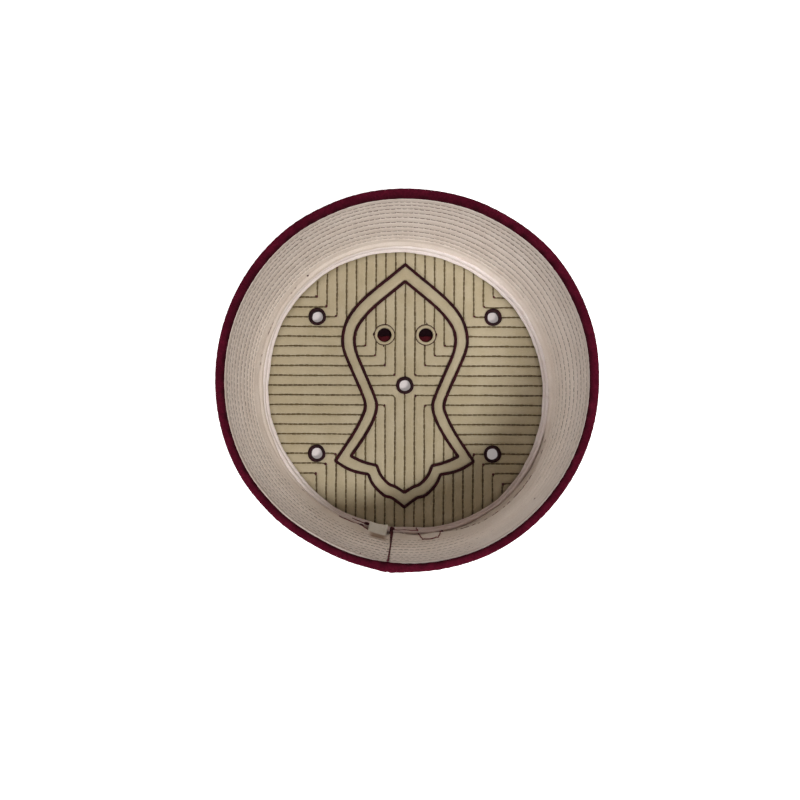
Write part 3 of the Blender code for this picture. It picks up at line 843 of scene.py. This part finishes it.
def pullTrue(spots, quads, rims):
    # the grid's stepped border is moved onto the true rounds, of which the first is the cloth's own
    edges = np.sort(np.stack([quads, np.roll(quads, -1, 1)], -1).reshape(-1, 2), 1)
    pairs, times = np.unique(edges, axis=0, return_counts=True)
    border = np.unique(pairs[times == 1])
    nearest = np.argmin([np.abs(np.hypot(*(spots[border] - (a, b)).T) - r) for a, b, r in rims], 0)
    for number, (a, b, r) in enumerate(rims):
        mine = border[nearest == number]
        way = spots[mine] - (a, b)
        wanted = r + (0 if number else ovalAt(np.degrees(np.arctan2(way[:, 1], way[:, 0]))))
        spots[mine] = (a, b) + way * (wanted / np.linalg.norm(way, axis=1))[:, None]


def walledDown(top, quads, low):
    # walls go down from every border, a little at first and then to a flat back
    mesh = bpy.data.meshes.new("plate")
    mesh.from_pydata(top.tolist(), [], quads.tolist())
    build = bmesh.new()
    build.from_mesh(mesh)
    bpy.data.meshes.remove(mesh)
    edges = [edge for edge in build.edges if edge.is_boundary]
    for last in (False, True):
        grown = bmesh.ops.extrude_edge_only(build, edges=edges)["geom"]
        for vertex in grown:
            if isinstance(vertex, bmesh.types.BMVert):
                vertex.co.z = low if last else vertex.co.z - 0.3
        edges = [edge for edge in grown if isinstance(edge, bmesh.types.BMEdge)]
    bmesh.ops.triangle_fill(build, use_beauty=False, use_dissolve=False, edges=edges)
    build.verts.index_update()
    points = np.array([vertex.co[:] for vertex in build.verts])
    faces = [[vertex.index for vertex in face.verts] for face in build.faces]
    build.free()
    return points, [[face for face in faces if len(face) == sides] for sides in (3, 4)]


def punchedPlate(radius, holes, step, topHeight, low):
    # a round cloth with holes, made from a square grid
    reach = math.ceil((radius + 4) / step)
    ticks = np.arange(-reach, reach + 1) * step
    x, y = np.meshgrid(ticks, ticks, indexing="ij")
    middleX, middleY = x[:-1, :-1] + step / 2, y[:-1, :-1] + step / 2
    kept = fromCrown(middleX, middleY) < radius
    for holeX, holeY, holeRadius in holes:
        kept &= np.hypot(middleX - holeX, middleY - holeY) > holeRadius
    quads = gridFaces(np.arange(x.size).reshape(x.shape))[kept.ravel()]
    used, quads = np.unique(quads, return_inverse=True)
    quads = quads.reshape(-1, 4)
    spots = np.stack([x.ravel()[used], y.ravel()[used]], -1)
    centreX, centreY = crownCentre[0] - figureCentre[0], crownCentre[1] - figureCentre[1]
    pullTrue(spots, quads, [(centreX, centreY, radius)] + holes)
    return walledDown(np.column_stack([spots + figureCentre, topHeight(spots)]), quads, low)


def makeCrownLining():
    holes = [(*centre, crown["boreCut"]) for centre in eyeletPlaces]
    holes += [(*centre, crown["cutOutRadius"]) for centre in cutOutPlaces]
    step = crown["pitch"] / crown["cells"]
    points, faces = punchedPlate(crown["liningRadius"], holes, step, crownTop, crown["liningLow"])
    spots = points[:, :2] - figureCentre
    shade = 0.5 * hump(fromCrown(spots[:, 0], spots[:, 1]) - 83.2, 1.7)
    piece = addPiece("crownLining", points, faces, looks["crownLining"], "crown_lining_cloth",
                     ["crown_lining"], sharpAngle=60, marks={"edgeShade": shade})


def crownUnder(spots):
    # the outside of the crown, which the cap rests on: shallow quilting, its edge rounded up
    away = fromCrown(spots[:, 0], spots[:, 1])
    rise = 0.75 * easeStep(crown["clothRadius"] - 2.2, crown["clothRadius"], away) ** 2
    return crown["clothLow"] + np.maximum(rise, 0.16 * hump(quiltOff(spots), 0.9))


def makeCrownCloth():
    # made upside down and then turned over
    holes = [(*centre, crown["boreCut"]) for centre in eyeletPlaces]
    step = crown["pitch"] / crown["clothCells"]
    points, faces = punchedPlate(crown["clothRadius"], holes, step, lambda spots: -crownUnder(spots),
                                 -crown["clothTop"])
    points[:, 2] *= -1
    addPiece("crownCloth", points, faces, looks["crownFelt"], "maroon_cloth", ["crown_cloth"],
             sharpAngle=60)


def quiltPaths():
    # every quilting line about the figure's centre: in from the edge, round its mitre and out again
    pitch, reach = crown["pitch"], 90.0
    paths = [[(0, -reach), (0, reach)], [(-reach, 0), (reach, 0)]]
    for number in range(1, crown["lines"] + 1):
        near = number * pitch
        for side in (-1, 1):
            for way, bend in ((1, crown["upperCorner"]), (-1, crown["corner"])):
                path = [(side * near, way * reach)]
                for step in range(7):
                    angle = math.radians(15 * step)
                    out, up = bend * (1 - math.cos(angle)), bend * (1 - math.sin(angle))
                    path.append((side * (near + out), way * (near + up)))
                paths.append(path + [(side * reach, way * near)])
    return paths


def isShown(spots):
    # quilting stops short of the outlines, the eyelets, the cut-outs and the seam roll
    awayOuter, inOuter = nearOutline(spots, "outer")
    awayInner, inInner = nearOutline(spots, "inner")
    middle = fromCrown(spots[:, 0], spots[:, 1])
    shown = (inInner | ~inOuter) & (np.minimum(awayOuter, awayInner) > 0.45)
    shown &= middle < crown["lineEnd"]
    for centre in eyeletPlaces:
        shown &= np.hypot(*(spots - centre).T) > crown["flange"] - 0.2
    for centre in cutOutPlaces:
        shown &= np.hypot(*(spots - centre).T) > 6.3
    return shown


def quiltRuns():
    # the parts of each line that show
    runs = []
    for path in quiltPaths():
        path = evenly(path, 0.25)
        shown = isShown(path)
        change = np.flatnonzero(np.diff(shown.astype(int))) + 1
        for stretch in np.split(np.arange(len(path)), change):
            if shown[stretch[0]] and len(stretch) > 6:
                runs.append(path[stretch])
    return runs


def onCrown(spots, raised=0.0):
    return np.column_stack([spots + figureCentre, crownTop(spots) + raised])


def makeQuiltStitches():
    chance = np.random.default_rng(71)
    paths, radii, arches, knots = [], [], [], []
    visible = crown["dashLength"] / crown["stitch"]
    for run in quiltRuns():
        steps = np.linalg.norm(np.diff(run, axis=0), axis=1)
        length = steps.sum()
        count = max(1, round(length / crown["stitch"]))
        done = np.concatenate([[0], np.cumsum(steps)])
        sway = 0.10 * np.sin(done / 9 + chance.uniform(0, 6))
        sway = sway + 0.05 * np.sin(done / 2.3 + chance.uniform(0, 6))
        across = np.gradient(run, axis=0)[:, ::-1] * (1, -1)
        across /= np.linalg.norm(across, axis=1, keepdims=True)
        swayed = run + across * sway[:, None]
        for number in range(count):
            low = (number + (1 - visible) / 2) * length / count
            wanted = np.linspace(low, low + visible * length / count, 5)
            paths.append(np.stack([np.interp(wanted, done, swayed[:, axis]) for axis in (0, 1)], -1))
            radii.append(crown["threadRadius"] * chance.uniform(0.82, 1.15))
            arches.append(crown["dashArch"] * chance.uniform(0.6, 1.2))
        for end in (run[0], run[-1]):
            if chance.uniform() < 0.6:
                knots.append(end + chance.normal(0, 0.15, 2))
    paths = onCrown(np.array(paths).reshape(-1, 2)).reshape(-1, 5, 3)
    share = np.linspace(-1, 1, 5)
    paths[..., 2] += 0.02 + np.array(arches)[:, None] * (1 - np.abs(share) ** 2.5)
    thickness = np.array(radii)[:, None] * (1 - 0.35 * np.abs(share) ** 3)
    points, faces = tubes(paths, upright, thickness, 6)
    addPiece("quiltStitches", points, faces, looks["quiltThread"], "outline_thread")
    # a thread end stands at each mitre corner, just within the turn
    places = [number * crown["pitch"] + 0.45 for number in range(1, crown["lines"] + 1)]
    corners = [(x * place, y * place) for place in places for x in (-1, 1) for y in (-1, 1)]
    corners = [spot for spot in corners if chance.uniform() < 0.97 and isShown(np.array([spot]))[0]]
    wide = np.concatenate([chance.uniform(0.30, 0.46, len(knots)),
                           chance.uniform(0.55, 0.75, len(corners))])
    knots = np.array(knots + corners)
    heading = chance.uniform(0, math.pi, len(knots))
    along = np.column_stack([np.cos(heading), np.sin(heading), 0 * heading])
    length = chance.uniform(0.7, 1.3, len(knots)) + 0.4 * (wide > 0.5)
    points, faces = dashes(onCrown(knots, 0.05), along, np.tile(upright, (len(knots), 1)),
                           length, wide, 0.16)
    addPiece("quiltEndKnots", points, faces, looks["knot"], "outline_thread")


# the sandal figure's two cords, each three strands laid round each other

cords = {"height": 4.45, "strandRadius": 0.51, "layRadius": 0.45, "lay": 2.6, "step": 0.37}


def makeOutlineCords():
    for name, node, table in (("outerOutlineCord", "sandal_outline_outer", outerOutline),
                              ("innerOutlineCord", "sandal_outline_inner", innerOutline)):
        path = figurePath(table, cords["step"])
        for _ in range(2):
            path = (np.roll(path, 1, 0) + 2 * path + np.roll(path, -1, 0)) / 4
        count = len(path)
        turns = round(count * cords["step"] / cords["lay"])
        angle = np.arange(count) * 2 * math.pi * turns / count
        ahead = np.roll(path, -1, 0) - np.roll(path, 1, 0)
        across = ahead[:, ::-1] * (1, -1)
        across /= np.linalg.norm(across, axis=1, keepdims=True)
        wobble = 1 + 0.10 * ripple(np.arange(count) * 2 * math.pi / count, 81, 20, 90)
        strands = []
        for strand in range(3):
            turn = angle + strand * 2 * math.pi / 3
            side = across * (cords["layRadius"] * np.cos(turn))[:, None]
            height = cords["height"] + cords["layRadius"] * np.sin(turn)
            strands.append(np.column_stack([path + side + figureCentre, height]))
        radii = cords["strandRadius"] * wobble[None, :]
        points, faces = tubes(np.array(strands), upright, radii, 7, True)
        addPiece(name, points, faces, looks["outlineThread"], "outline_thread", [node])


# eyelets: a sleeve through both crown layers, whipped over with thread

eyelets = {
    "stitches": 34, "around": 204, "whip": 0.13,
    "crest": 4.1, "bound": (3.2, 3.9), "topFrom": 4.2,
}
# once round the section: radius and height, in mm
eyeletProfile = [
    (3.45, 0.12), (4.0, 0.12), (4.1, 0.5), (4.1, 3.2), (4.6, 3.55), (5.05, 3.75), (5.22, 4.05),
    (5.12, 4.4), (4.85, 4.68), (4.5, 4.82), (4.15, 4.84), (3.8, 4.74), (3.5, 4.5), (3.34, 4.1),
    (3.28, 3.4), (3.26, 1.6), (3.28, 0.5),
]


def roundPoints(middle, away, turn, z):
    x, y = middle[0] + away * np.cos(turn), middle[1] + away * np.sin(turn)
    return np.stack(np.broadcast_arrays(x, y, z), -1)


def makeEyelets():
    radius, z = (np.array(column)[:, None] for column in zip(*eyeletProfile))
    turn = (np.arange(eyelets["around"]) * 2 * math.pi / eyelets["around"])[None, :]
    beyond = radius - eyelets["crest"]
    for number, centre in enumerate(eyeletPlaces, 1):
        chance = np.random.default_rng(90 + number)
        whip = np.sin(eyelets["stitches"] / 2 * turn + 0.35 * beyond + chance.uniform(0, 6))
        uneven = 1 + 0.35 * ripple(turn, 95 + number, 2, 12)
        proud = eyelets["whip"] * (np.abs(whip) - 0.6) * uneven * easeStep(*eyelets["bound"], z)
        away = radius + proud * np.sign(beyond) + 0.07 * ripple(turn, 99, 2, 5)
        height = z + proud * (z > eyelets["topFrom"])
        points = roundPoints(np.array(centre) + figureCentre, away, turn, height)
        faces = [ringFaces(len(eyeletProfile), eyelets["around"], True)]
        addPiece("eyeletRing_" + str(number), points, faces, looks["satin"], "outline_thread",
                 ["eyelet_" + str(number)])


# cut-outs in the lining: a rolled cream margin, a ring of thread with its knot, maroon cloth below

cutOut = {
    "around": 96, "sides": 12, "marginRadius": 5.0, "marginHeight": 3.95, "marginAcross": 0.72,
    "marginThick": 0.50, "ringRadius": 6.12, "threadRadius": 0.24, "knotSide": 6.2,
    "clothReach": 4.3, "clothHeight": 1.5, "clothBulge": 1.35,
}
# beside each ring, knot and two ends: how long and how thick
cutOutTicks = {"length": np.array([1.7, 1.2, 1.2]), "radius": np.array([0.62, 0.28, 0.28])}


def cutOutMargin(middle, turn, number):
    angle = (np.arange(cutOut["sides"]) * 2 * math.pi / cutOut["sides"])[None, :]
    size = 1 + 0.10 * ripple(turn, 110 + number, 3, 12)[:, None]
    away = cutOut["marginRadius"] + cutOut["marginAcross"] * size * np.cos(angle)
    z = cutOut["marginHeight"] + cutOut["marginThick"] * size * np.sin(angle)
    return roundPoints(middle, away, turn[:, None], z), [ringFaces(len(turn), cutOut["sides"], True)]


def cutOutThread(centre, turn, number):
    wander = cutOut["ringRadius"] + 0.10 * ripple(turn, 114 + number, 2, 8)
    path = onCrown(np.column_stack([wander * np.cos(turn), wander * np.sin(turn)]) + centre, 0.16)
    path[:, 2] += 0.05 * np.sin(24 * turn)
    ring = tubes(path[None], upright, cutOut["threadRadius"], 6, True)
    knot = (-cutOut["knotSide"], 0.3) if number == 0 else (cutOut["knotSide"], 0.0)
    ticks = np.array([knot, (0.6, 6.6), (-0.4, -6.7)]) + centre
    along = np.array([(0.2, 1, 0), (0, 1, 0), (0.2, 1, 0)])
    ends = dashes(onCrown(ticks, 0.15), along, np.tile(upright, (3, 1)), arch=0.25, **cutOutTicks)
    return [ring, ends]


def cutOutCloth(middle, number):
    # the outer cloth bulges up in the lower part of the opening; the rest lies deeper and is painted
    # dark as shade
    reach = np.linspace(0, cutOut["clothReach"], 13)[:, None]
    turn = (np.arange(48) * 2 * math.pi / 48)[None, :]
    x, y = reach * np.cos(turn), reach * np.sin(turn)
    edge = -0.55 + 0.25 * np.sin(x * 1.1 + number)
    bulge = easeStep(0.35, -0.35, y - edge)
    z = cutOut["clothHeight"] + bulge * (cutOut["clothBulge"] - 0.05 * (x ** 2 + (y + 2) ** 2))
    z = z + 0.05 * np.sin(3 * x + 2 * y)
    return (roundPoints(middle, reach, turn, z), [ringFaces(13, 48)]), (1 - bulge).ravel()


def makeCutOuts():
    turn = np.arange(cutOut["around"]) * 2 * math.pi / cutOut["around"]
    margins, threads, cloths, recessShade = [], [], [], []
    for number, centre in enumerate(cutOutPlaces):
        middle = np.array(centre) + figureCentre
        margins.append(cutOutMargin(middle, turn, number))
        threads += cutOutThread(centre, turn, number)
        cloth, dark = cutOutCloth(middle, number)
        cloths.append(cloth)
        recessShade.append(dark)
    addPiece("cutOutMargins", *joined(margins), looks["crownLining"], "crown_lining_cloth")
    addPiece("cutOutThreads", *joined(threads), looks["outlineThread"], "outline_thread")
    addPiece("cutOutFelt", *joined(cloths), looks["cutOut"], "maroon_cloth",
             marks={"recessShade": np.concatenate(recessShade)})


# the size tag, folded, its two side edges raised

tag = {
    "width": 10.8, "length": 7.6, "layer": 0.30, "fold": 0.24,
    "azimuth": cap["tagAt"], "radius": 83.1, "height": 13.9, "lean": 45,
}


def makeTag():
    # a strip folded in two: over, round the fold and back under
    half, fold = tag["length"] / 2, tag["fold"]
    over = [(y, fold, 0.0, 1.0) for y in np.linspace(half, -half + fold, 12)]
    bend = [(-half + fold - fold * math.sin(a), fold * math.cos(a), -math.sin(a), math.cos(a))
            for a in np.linspace(0, math.pi, 7)[1:-1]]
    under = [(y, -fold, 0.0, -1.0) for y in np.linspace(-half + fold, half, 12)]
    y, z, outY, outZ = (np.array(column)[:, None] for column in zip(*over + bend + under))
    across = np.linspace(-0.5, 0.5, 27)[None, :]
    rise = 0.38 * hump(np.abs(across) - 0.44, 0.05) + 0.10 * np.cos(across * 5) * np.cos(y * 0.6)
    rise = rise + 0.06 * np.sin(across * 17 + y * 0.8)
    skew = 1 - 0.05 * np.cos(across * 6)
    wide = across * tag["width"] + 0 * y
    sides = [np.stack([wide, (y + outY * way) * skew, z + outZ * way + rise], -1)
             for way in (tag["layer"] / 2, -tag["layer"] / 2)]
    count, columns = sides[0].shape[:2]
    points = np.concatenate([side.reshape(-1, 3) for side in sides])
    index = np.arange(count * columns).reshape(count, columns)
    faces = [gridFaces(index), gridFaces(index)[:, ::-1] + index.size]
    loop = np.concatenate([index[0], index[1:, -1], index[-1, -2::-1], index[-2:0:-1, 0]])
    after = np.roll(loop, -1)
    faces.append(np.stack([loop, after, after + index.size, loop + index.size], -1))
    lean = math.radians(tag["lean"])
    cos, sin = math.cos(lean), math.sin(lean)
    turned = points @ np.array([[1, 0, 0], [0, cos, sin], [0, -sin, cos]])
    heading = math.radians(tag["azimuth"] - 90)
    x = turned[:, 0] * math.cos(heading) - turned[:, 1] * math.sin(heading)
    y = turned[:, 0] * math.sin(heading) + turned[:, 1] * math.cos(heading)
    inward = outerRadius(tag["height"]) - tag["radius"]
    points = wallPoint(tag["azimuth"], tag["height"], inward) + np.column_stack([x, y, turned[:, 2]])
    piece = addPiece("sizeTag", points, faces, looks["tag"], "tag_cloth", ["size_tag"], sharpAngle=50)


# loose and hand-sewn threads near the back seam and along the folds
# each thread: azimuth in degrees, height, way in front of the cloth

backSeam = [
    (264.3, 9.4, 0.5), (264.4, 13.0, 0.6), (264.5, 17.0, 0.5), (264.5, 22.0, 0.4), (264.5, 30.2, 0.35),
    (264.5, 40.0, 0.35), (264.4, 50.3, 0.35), (264.3, 60.0, 0.35), (264.2, 68.0, 0.35),
    (264.2, 75.1, 0.35), (264.1, 79.5, 0.4), (264.05, 81.5, 0.6), (264.0, 83.4, 0.85),
]
backSeamRadii = [1.0, 0.95, 0.78, 0.62, 0.54, 0.48, 0.45, 0.44, 0.45, 0.48, 0.54, 0.60, 0.62]
looseThreadRadii = [0.28, 0.31, 0.28]
looseThreads = [
    [(274.5, 6.2, 0.4), (274.7, 9.0, 0.4), (275.2, 12.4, 0.5), (275.7, 19.2, 0.5), (276.6, 25.6, 0.5),
     (277.8, 27.6, 0.5), (279.2, 28.0, 0.5), (280.8, 27.4, 0.5), (282.2, 25.2, 0.5), (283.2, 20.5, 0.5),
     (283.9, 16.0, 0.5), (284.6, 12.4, 0.6)],
    [(265.4, 10.8, 0.2), (267.5, 10.9, 0.2), (270.0, 10.8, 0.2), (272.5, 10.9, 0.2), (275.0, 10.8, 0.2)],
    [(265.6, 13.2, 0.25), (267.5, 13.0, 0.2), (269.5, 12.9, 0.2), (271.4, 12.9, 0.15)],
    [(254.6, 10.8, 0.25), (252.5, 10.8, 0.2), (250.0, 10.4, 0.2), (247.4, 10.0, 0.15)],
    [(255.6, 15.0, 0.2), (252.1, 15.6, 0.2), (249.7, 14.4, 0.15), (246.0, 15.8, 0.15),
     (242.3, 17.4, 0.1)],
]
# each dash: azimuth, height, way in front, length, radius, slant from level in degrees
seamDashes = [
    (264.6, 10.4, 0.5, 2.4, 0.95, 20), (284.3, 12.6, 0.6, 1.9, 0.85, 0),
    (282.6, 12.3, 0.5, 5.0, 0.50, 3), (253.9, 11.2, 0.5, 2.8, 0.90, -4),
    (252.4, 12.2, 0.5, 2.6, 0.60, -20), (252.0, 15.4, 0.3, 2.8, 0.42, -8),
    (268.3, 13.0, 0.3, 3.4, 0.48, -4), (131.3, 18.8, 0.2, 1.2, 0.42, 40),
    (235.0, 15.2, 0.3, 1.4, 0.42, 80), (240.4, 15.6, 0.2, 1.6, 0.30, 85),
    (255.0, 78.6, 0.3, 2.0, 0.26, 90), (127.0, 70.5, 0.3, 1.2, 0.20, 30),
    (318.0, 63.0, 0.3, 1.1, 0.20, 15),
]
# along the faint line: from and to which azimuth, and how many small stitches
grooveSpans = ((135, 171, 9), (222, 250, 14), (267, 284, 7), (284, 342, 38))


def frontOf(azimuth, z):
    # the way in of whatever cloth is seen first there: the lining or one of the rolls
    front = liningInward(azimuth, z)
    for name in ("crown", "side"):
        roll = rolls[name]
        base, squeeze = rollBase(roll, azimuth)
        up = (z - roll["height"]) / (roll["thick"] * squeeze)
        bulge = roll["across"] * squeeze * np.sqrt(np.clip(1 - up ** 2, 0, 1))
        front = np.where(np.abs(up) < 1, np.maximum(front, base + bulge), front)
    return front


def threadAlong(table, radii):
    table = [np.array(row, float) for row in table]
    smooth = evenly(smoothRun(table, 0.6), 0.55)
    along = np.linspace(0, 1, len(smooth))
    thickness = np.interp(along, np.linspace(0, 1, len(radii)), radii)
    # plied thread reads as a slight bead along its length
    thickness = thickness * (1 + 0.12 * np.sin(np.arange(len(smooth)) * 1.9))
    inward = frontOf(smooth[:, 0], smooth[:, 1]) + smooth[:, 2]
    path = wallPoint(smooth[:, 0], smooth[:, 1], inward)
    return tubes(path[None], inwardWay(np.radians(smooth[:, 0]), 0.2)[None], thickness[None], 7)


def wallDashes(table, arch=0.25):
    azimuth, z, out, length, radius, slant = (np.array(column, float) for column in zip(*table))
    turn, lean = np.radians(azimuth), np.radians(slant)
    middles = wallPoint(azimuth, z, frontOf(azimuth, z) + out)
    alongs = np.column_stack([-np.sin(turn) * np.cos(lean), np.cos(turn) * np.cos(lean), np.sin(lean)])
    return dashes(middles, alongs, inwardWay(turn), length, radius, arch + 0 * radius)


def makeThreads():
    points, faces = joined([threadAlong(backSeam, backSeamRadii), wallDashes(seamDashes)])
    addPiece("backSeamThreads", points, faces, looks["knot"], "outline_thread")
    points, faces = joined([threadAlong(table, looseThreadRadii) for table in looseThreads])
    addPiece("looseThreads", points, faces, looks["looseThread"], "outline_thread")
    chance = np.random.default_rng(131)
    azimuth = np.concatenate([np.sort(chance.uniform(*span)) for span in grooveSpans])
    table = [(a, sunkenAt(a) + chance.uniform(-0.4, 0.2), 0.05, chance.uniform(0.9, 2.6),
              chance.uniform(0.13, 0.24), chance.uniform(-14, 14)) for a in azimuth]
    points, faces = wallDashes(table, 0.12)
    addPiece("grooveStitches", points, faces, looks["grooveThread"], "outline_thread")


makeWallCloth()
makeSideLining()
makeRowStitches()
makeRolls()
makeCrownLining()
makeCrownCloth()
makeQuiltStitches()
makeOutlineCords()
makeEyelets()
makeCutOuts()
makeTag()
makeThreads()

# the pale floor, lit a little from below away from the cap so that it stays even; under the cap it is
# painted darker and pink as shade, with a faint painted pink glow

floorLook = {
    "under": (0.60, 0.54, 0.535, 1), "beyond": (0.86, 0.86, 0.86, 1),
    "paintedGlowUnder": (1, 0.92, 0.91, 1), "glowBeyond": (1, 1, 1, 1), "glow": (0.26, 0.98),
    "reach": (0.091, 0.097),        # between which distances from the middle it changes, in metres
}


def makeFloor():
    bpy.ops.mesh.primitive_plane_add(size=6, location=(0, 0, -0.0005))
    floor = bpy.context.object
    floor.name = "floor"
    material = bpy.data.materials.new("pale_floor")
    material.use_nodes = True
    tree = material.node_tree
    shader = tree.nodes["Principled BSDF"]
    shader.inputs["Roughness"].default_value = 0.9
    length = newNode(tree, "VectorMath", operation="LENGTH")
    feed(tree, length.inputs[0], newNode(tree, "TexCoord").outputs["Object"])
    beyond = spread(tree, length.outputs["Value"], *floorLook["reach"])
    glow = spread(tree, beyond, 0.0, 1.0, *floorLook["glow"])
    # under the cap: painted pink glow and painted darker pink shade
    glowColour = blendColours(tree, beyond, floorLook["paintedGlowUnder"], floorLook["glowBeyond"])
    colour = blendColours(tree, beyond, floorLook["under"], floorLook["beyond"])
    feed(tree, shader.inputs["Emission Strength"], glow)
    feed(tree, shader.inputs["Emission Color"], glowColour)
    feed(tree, shader.inputs["Base Color"], colour)
    floor.data.materials.append(material)
    print("floor laid")


makeFloor()

# a broad soft light above, towards the bottom right of the picture, and a pale room
# that is brighter on two sides

light = {
    "centre": (0.41, -0.41), "size": (0.42, 0.18),      # as shares of its height
    "height": 1.3, "above": 0.04,       # its height over the cap's middle, and how high that is
    "power": 17.0, "colour": (1.0, 0.985, 0.965),
}
room = {"above": (0.25, 0.235, 0.218), "glow": (0.98, 0.98, 1.0)}
# where each brighter side lies, how narrow it is, between which heights of view, and how bright
roomSides = [
    {"towards": 222, "narrow": (0.42, 0.80), "rise": (0.36, 0.48, 0.58, 0.70), "strength": 4.1},
    {"towards": 90, "narrow": (0.25, 0.75), "rise": (0.05, 0.16, 0.42, 0.56), "strength": 1.25},
]


def makeLight():
    lamp = bpy.data.lights.new("keyLight", "AREA")
    lamp.shape = "RECTANGLE"
    height = light["height"]
    lamp.size, lamp.size_y = (side * height for side in light["size"])
    lamp.energy = light["power"]
    lamp.color = light["colour"]
    key = bpy.data.objects.new("keyLight", lamp)
    key.location = (light["centre"][0] * height, light["centre"][1] * height, height + light["above"])
    bpy.context.scene.collection.objects.link(key)


def makeRoom():
    world = bpy.data.worlds.new("room")
    world.use_nodes = True
    tree = world.node_tree
    split = newNode(tree, "SeparateXYZ")
    feed(tree, split.inputs[0], newNode(tree, "TexCoord").outputs["Generated"])
    x, y, z = split.outputs
    total = 0.0
    for side in roomSides:
        turn = math.radians(side["towards"])
        along = maths(tree, "ADD", maths(tree, "MULTIPLY", x, math.cos(turn)),
                      maths(tree, "MULTIPLY", y, math.sin(turn)))
        low, lowFull, highFull, high = side["rise"]
        glow = spread(tree, along, *side["narrow"])
        glow = maths(tree, "MULTIPLY", glow, spread(tree, z, low, lowFull))
        glow = maths(tree, "MULTIPLY", glow, spread(tree, z, highFull, high, 1.0, 0.0))
        glow = maths(tree, "MULTIPLY", glow, side["strength"])
        total = maths(tree, "ADD", glow, total)
    joint = newNode(tree, "CombineXYZ")
    for channel in range(3):
        part = maths(tree, "MULTIPLY", total, room["glow"][channel])
        feed(tree, joint.inputs[channel], maths(tree, "ADD", part, room["above"][channel]))
    feed(tree, tree.nodes["Background"].inputs["Color"], joint.outputs[0])
    bpy.context.scene.world = world


# the camera looks straight down: its place about the cap's axis in mm,
# its lens and shift as on a picture of so many pixels
view = {"beside": (-0.63, -29.43), "height": 470.0, "turn": 0.25,
        "picture": 800, "lens": 785, "shift": (-5.95, 39.35)}


def makeCamera():
    # the picture's sensor lies level, so the rim stays round; the shift is the photograph's own framing
    lens = bpy.data.cameras.new("camera")
    lens.sensor_width = 36
    lens.lens = lens.sensor_width * view["lens"] / view["picture"]
    lens.shift_x, lens.shift_y = (shift / view["picture"] for shift in view["shift"])
    lens.clip_start = 0.01
    camera = bpy.data.objects.new("camera", lens)
    x, y = (middle + beside for middle, beside in zip(cap["axis"], view["beside"]))
    camera.location = (x * 0.001, y * 0.001, view["height"] * 0.001)
    camera.rotation_euler = (0, 0, math.radians(view["turn"]))
    bpy.context.scene.collection.objects.link(camera)
    bpy.context.scene.camera = camera


makeLight()
makeRoom()
makeCamera()
bpy.context.scene.view_settings.view_transform = "Standard"

print("scene made")
